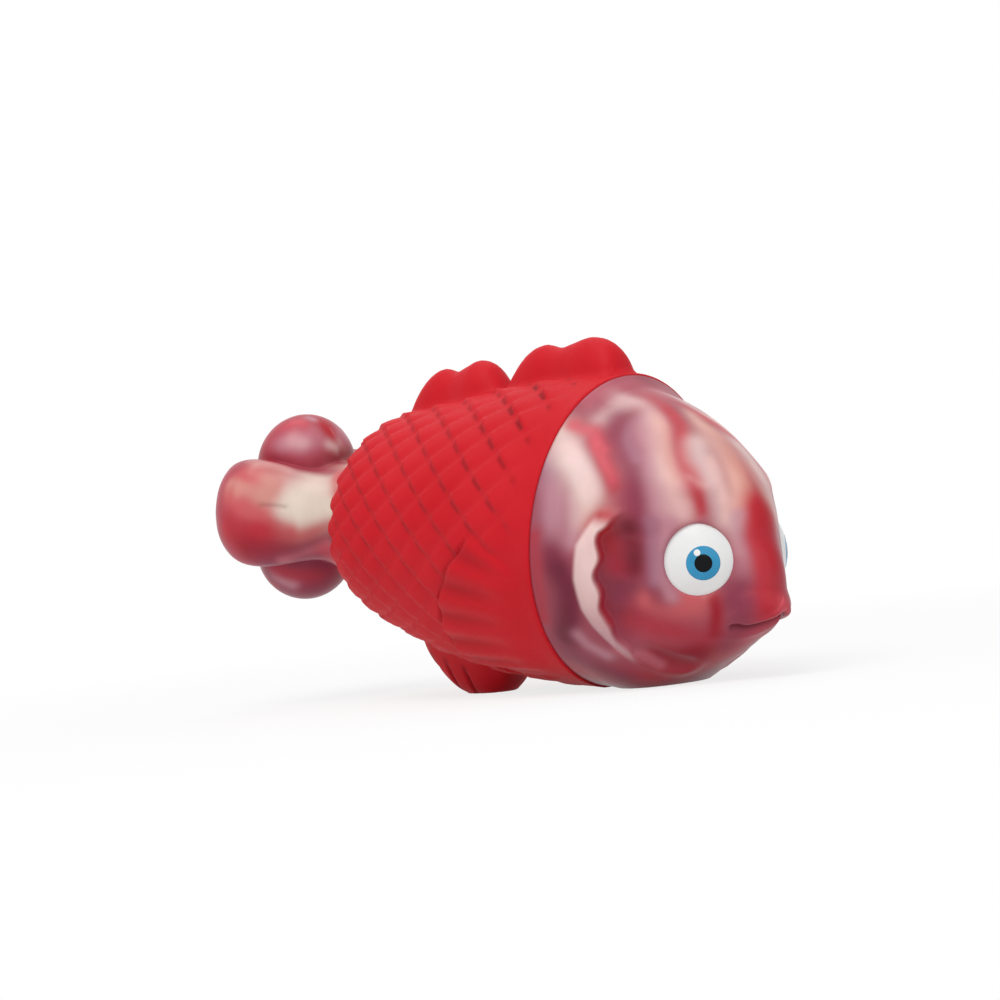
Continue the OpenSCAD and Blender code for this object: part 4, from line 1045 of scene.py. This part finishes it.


# the crevice colour is painted shade for the creases and the scales' steps; the edge colour is a painted
# highlight on the scales' faint edges
redVinylLook = {"base": (0.54, 0.005, 0.013), "light": (0.58, 0.011, 0.020), "creviceShade": (0.27, 0.002, 0.007),
                "edge": (0.66, 0.055, 0.07), "stepShadowWidth": 0.14, "stepShadowShare": 0.92, "specular": 0.14,
                "patchScale": 42, "stepShadowScale": 55, "fineScale": 900, "rough": (0.52, 0.62),
                "bump": (0.12, 0.0002)}


# Painted shadow as dark short strokes in the scales' steep steps, and a painted highlight as a thin light
# line on the others, from the jacket's own
# UV map, whose two directions count the scales along both diagonals.
def paintStepShadowsAndHighlights(tree, colour):
    uv = addNode(tree, "UVMap", uv_map="UVMap").outputs["UV"]
    split = addNode(tree, "SeparateXYZ", {"Vector": uv}).outputs
    across, along = (mathNode(tree, "MULTIPLY", split[key], scalesPerUv) for key in ("X", "Y"))
    share, place = painted(tree, "stepShadingShare"), mathNode(tree, "FRACT", along)
    # painted shadow: short dark strokes in the scales' steep steps
    stepShadow = ease(tree, mathNode(tree, "PINGPONG", across), 0.008, redVinylLook["stepShadowWidth"], 1.0, 0.0)
    for cover in (ease(tree, place, 0.2, 0.34), ease(tree, place, 0.72, 0.88, 1.0, 0.0),
                  ease(tree, addNoise(tree, redVinylLook["stepShadowScale"], 2), 0.3, 0.5, 0.6, 1.0),
                  share, redVinylLook["stepShadowShare"]):
        stepShadow = mathNode(tree, "MULTIPLY", stepShadow, cover)
    # painted highlight: a thin light line along the scales' other edges
    light = ease(tree, mathNode(tree, "PINGPONG", along), 0.0, 0.05, 0.08, 0.0)
    light = mathNode(tree, "MULTIPLY", light, share)
    colour = blendColour(tree, "MIX", light, colour, redVinylLook["edge"])
    return blendColour(tree, "MIX", stepShadow, colour, redVinylLook["creviceShade"])


def redVinyl():
    m, tree, inputs = newMaterial("redVinyl")
    patch = addNoise(tree, redVinylLook["patchScale"], 2)
    colour = ramp(tree, patch, [(0.3, redVinylLook["base"]), (0.7, redVinylLook["light"])])
    # painted shade in the creases, the fan's edge and the belly fin's grooves
    colour = blendColour(tree, "MIX", painted(tree, "shadedCrease"), colour, redVinylLook["creviceShade"])
    feed(tree, inputs["Base Color"], paintStepShadowsAndHighlights(tree, colour))
    fine = addNoise(tree, redVinylLook["fineScale"])
    roughen(tree, inputs, fine, *redVinylLook["rough"])
    addBump(tree, inputs, fine, *redVinylLook["bump"])
    feed(tree, inputs["Specular IOR Level"], redVinylLook["specular"])
    return m


marbledLook = {"specular": 0.16, "coat": 0.02, "coatRough": 0.22, "streakScale": 70,
               "stretch": (1.6, 1.0, 0.35),
               "veil": [(0.25, (0.88, 0.78, 0.82)), (0.5, (1.0, 1.0, 1.0)), (0.75, (1.14, 1.12, 1.1))],
               "veilShare": 0.7, "creviceShade": (0.13, 0.008, 0.02), "fineScale": 420, "broadScale": 60,
               "rough": (0.30, 0.38), "bump": (0.15, 0.0006)}


def marbledVinyl():
    m, tree, inputs = newMaterial("marbledVinyl")
    streak = addNoise(tree, marbledLook["streakScale"], 4, marbledLook["stretch"])
    veil = ramp(tree, streak, marbledLook["veil"])
    colour = painted(tree, "marbling", "Color")
    colour = blendColour(tree, "MULTIPLY", marbledLook["veilShare"], colour, veil)
    # painted shade along the mouth line, in the gill hollow and in the tail's folds
    colour = blendColour(tree, "MIX", painted(tree, "shadedCrease"), colour, marbledLook["creviceShade"])
    feed(tree, inputs["Base Color"], colour)
    roughen(tree, inputs, addNoise(tree, marbledLook["fineScale"]), *marbledLook["rough"])
    addBump(tree, inputs, addNoise(tree, marbledLook["broadScale"], 2), *marbledLook["bump"])
    feed(tree, inputs["Specular IOR Level"], marbledLook["specular"])
    feed(tree, inputs["Coat Weight"], marbledLook["coat"])
    feed(tree, inputs["Coat Roughness"], marbledLook["coatRough"])
    return m


paintLook = {"scale": 160, "specular": 0.12}


def glossPaint(name, low, high, rough):
    m, tree, inputs = newMaterial(name)
    soft = addNoise(tree, paintLook["scale"])
    feed(tree, inputs["Base Color"], ramp(tree, soft, [(0.3, low), (0.7, high)]))
    roughen(tree, inputs, soft, rough * 0.8, rough * 1.2)
    feed(tree, inputs["Specular IOR Level"], paintLook["specular"])
    return m


plasticLook = {"cloudScale": 120, "grainScale": 1800, "rough": (0.38, 0.5), "bump": (0.1, 0.0001)}


def mouldedPlastic(name, low, high):
    m, tree, inputs = newMaterial(name)
    cloud = addNoise(tree, plasticLook["cloudScale"])
    feed(tree, inputs["Base Color"], ramp(tree, cloud, [(0.3, low), (0.7, high)]))
    grain = addNoise(tree, plasticLook["grainScale"], 2)
    roughen(tree, inputs, grain, *plasticLook["rough"])
    addBump(tree, inputs, grain, *plasticLook["bump"])
    return m


def dress(obj, material):
    obj.data.materials.clear()
    obj.data.materials.append(material)


redFinish, marbledFinish = redVinyl(), marbledVinyl()
for obj in (scaledJacket, marbledHead, marbledTail):
    onlySelected(obj)
    bpy.ops.object.shade_smooth()
    dress(obj, redFinish if obj is scaledJacket else marbledFinish)
    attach(obj, "fish")

# the seat's edges stay crisp
co = placeOf(scaledJacket)
x, y = toFish(co).T[:2]
radius = np.hypot(x - seat["x"], y)
onEdge = (abs(radius - seat["flange"] / 2) < 0.02) | (abs(radius - seat["bore"] / 2) < 0.02)
seatCentre = toRow(np.array([(seat["x"], 0, seatLevel())]))[0]
onEdge = onEdge & (np.linalg.norm(co - seatCentre, axis=1) < 0.0105)
ends = np.zeros(len(scaledJacket.data.edges) * 2, np.int32)
scaledJacket.data.edges.foreach_get("vertices", ends)
attributes = scaledJacket.data.attributes
sharp = attributes.get("sharp_edge") or attributes.new("sharp_edge", "BOOLEAN", "EDGE")
sharp.data.foreach_set("value", onEdge[ends.reshape(-1, 2)].all(1))

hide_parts("body_shell")
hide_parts("head_shell")
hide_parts("tail_shell")

eyeFinish = {"eye_white": glossPaint("eyeWhiteGloss", (0.76, 0.765, 0.76), (0.80, 0.805, 0.80), 0.16),
             "iris_blue": glossPaint("irisBlueGloss", (0.035, 0.25, 0.46), (0.05, 0.32, 0.55), 0.14),
             "pupil_black": glossPaint("pupilBlackGloss", (0.002, 0.003, 0.004), (0.004, 0.005, 0.006), 0.16),
             "glint_white": glossPaint("glintWhiteGloss", (0.82, 0.82, 0.82), (0.86, 0.86, 0.86), 0.15)}
for obj, node, slotName in eyePieces:
    dress(obj, eyeFinish[slotName])
    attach(obj, "fish")
    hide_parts(node)

cupFinish = mouldedPlastic("squeakerPlastic", (0.62, 0.60, 0.55), (0.70, 0.68, 0.63))
filmFinish = mouldedPlastic("reedFilm", (0.55, 0.58, 0.60), (0.64, 0.67, 0.69))
for node in ("squeaker_cup", "squeaker_cap", "reed_plate", "reed_clamp"):
    dress(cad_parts[node], cupFinish)
dress(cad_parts["reed"], filmFinish)
print("finishes on")

# floor, light and camera
# The lights: place, target, size and power.
studio = {"floorSize": 3.0, "floorTone": 0.86, "floorShow": 0.22, "showScale": 3.3, "showX": -0.04,
          "worldLight": 0.5,
          "lights": {"keyLight": ((0.10, -0.45, 0.85), (-0.03, 0, 0.04), (0.7, 0.5), 5.0),
                     "topLight": ((-0.25, 0.25, 0.9), (-0.03, 0, 0.04), (0.6, 0.6), 1.5),
                     "frontLight": ((0.8, -0.35, 0.3), (0.0, 0, 0.03), (0.5, 0.5), 1.0)}}


# One where the camera, a reflection or a view through glass meets the backdrop, else nought.
def seenDirectly(tree):
    rays = addNode(tree, "LightPath").outputs
    total = mathNode(tree, "ADD", rays["Is Camera Ray"], rays["Is Glossy Ray"], clamp=True)
    return mathNode(tree, "ADD", total, rays["Is Transmission Ray"], clamp=True)


def emptyTree(owner):
    owner.use_nodes = True
    owner.node_tree.nodes.clear()
    return owner.node_tree


def finishTree(tree, output, share, usual, shown):
    # the shown shader takes over from the usual one by the share
    mix = addNode(tree, "MixShader")
    for socket, source in zip(mix.inputs, (share, usual.outputs[0], shown.outputs[0])):
        feed(tree, socket, source)
    addNode(tree, output, {"Surface": mix.outputs[0]})


def addFloor():
    nothingSelected()
    bpy.ops.mesh.primitive_circle_add(vertices=96, radius=studio["floorSize"], fill_type="NGON")
    floor = justAdded("studioFloor")
    m = bpy.data.materials.new("studioFloorPale")
    tree = emptyTree(m)
    # white when seen directly, but less so round the toy, where its shadow shows
    where, scale = addNode(tree, "TexCoord").outputs["Object"], studio["showScale"]
    near = {"Vector": where, "Location": (-studio["showX"] * scale, 0, 0), "Scale": (scale,) * 3}
    near = {"Vector": addNode(tree, "Mapping", near).outputs["Vector"]}
    spread = addNode(tree, "TexGradient", near, gradient_type="SPHERICAL").outputs["Fac"]
    share = ease(tree, spread, 0.0, 0.6, 1.0, 1.0 - studio["floorShow"], "LINEAR")
    share = mathNode(tree, "MULTIPLY", share, seenDirectly(tree))
    matte = addNode(tree, "BsdfDiffuse", {"Color": (studio["floorTone"],) * 3})
    white = addNode(tree, "Emission", {"Color": (1, 1, 1), "Strength": 1})
    finishTree(tree, "OutputMaterial", share, matte, white)
    floor.data.materials.append(m)
    return floor


def addWorld():
    world = bpy.data.worlds.new("studioWorld")
    bpy.context.scene.world = world
    tree = emptyTree(world)
    soft = addNode(tree, "Background", {"Color": (1, 1, 1), "Strength": studio["worldLight"]})
    white = addNode(tree, "Background", {"Color": (1, 1, 1), "Strength": 1})
    finishTree(tree, "OutputWorld", seenDirectly(tree), soft, white)


floor = addFloor()
addWorld()

# The camera stands in front of the fish's right side, a little above it. The origin is in the picture.
view = {"around": 42.0, "above": 8.5, "roll": 1.6, "away": 800.0, "focal": 3736.0, "origin": (625, 531),
        "picture": 1000, "sensor": 36, "clip": (0.01, 20)}


def fishWay(v):
    return Vector(toRow(np.array([v], float))[0] - toRow(np.array([(0.0, 0.0, 0.0)]))[0]).normalized()


def addCamera():
    az, el, roll = (math.radians(view[key]) for key in ("around", "above", "roll"))
    back = Vector((math.sin(az) * math.cos(el), -math.cos(az) * math.cos(el), math.sin(el)))
    right = Vector((math.cos(az), math.sin(az), 0))
    up = back.cross(right)
    right, up = right * math.cos(roll) + up * math.sin(roll), up * math.cos(roll) - right * math.sin(roll)
    # it points at the picture's middle
    middle = view["picture"] / 2
    dx, dy = (middle - view["origin"][0]) / view["focal"], (view["origin"][1] - middle) / view["focal"]
    forward = (-back + right * dx + up * dy).normalized()
    right = (right - forward * right.dot(forward)).normalized()
    up = right.cross(forward)
    data = bpy.data.cameras.new("photoCamera")
    data.lens, data.sensor_width = view["focal"] / view["picture"] * view["sensor"], view["sensor"]
    data.clip_start, data.clip_end = view["clip"]
    camera = bpy.data.objects.new("photoCamera", data)
    bpy.context.scene.collection.objects.link(camera)
    turned = Matrix([fishWay(way) for way in (right, up, -forward)]).transposed().to_4x4()
    turned.translation = toRow(np.array([tuple(back * view["away"])]))[0]
    camera.matrix_world = turned
    bpy.context.scene.camera = camera


def softBox(name, place, target, size, power):
    data = bpy.data.lights.new(name, "AREA")
    data.shape = "RECTANGLE"
    data.size, data.size_y = size
    data.energy = power
    obj = bpy.data.objects.new(name, data)
    bpy.context.scene.collection.objects.link(obj)
    obj.location = place
    obj.rotation_mode = "QUATERNION"
    obj.rotation_quaternion = (Vector(target) - Vector(place)).to_track_quat("-Z", "Y")


addCamera()
for name, (place, target, size, power) in studio["lights"].items():
    softBox(name, place, target, size, power)
bpy.context.scene.view_settings.view_transform = "Standard"
print("studio set")
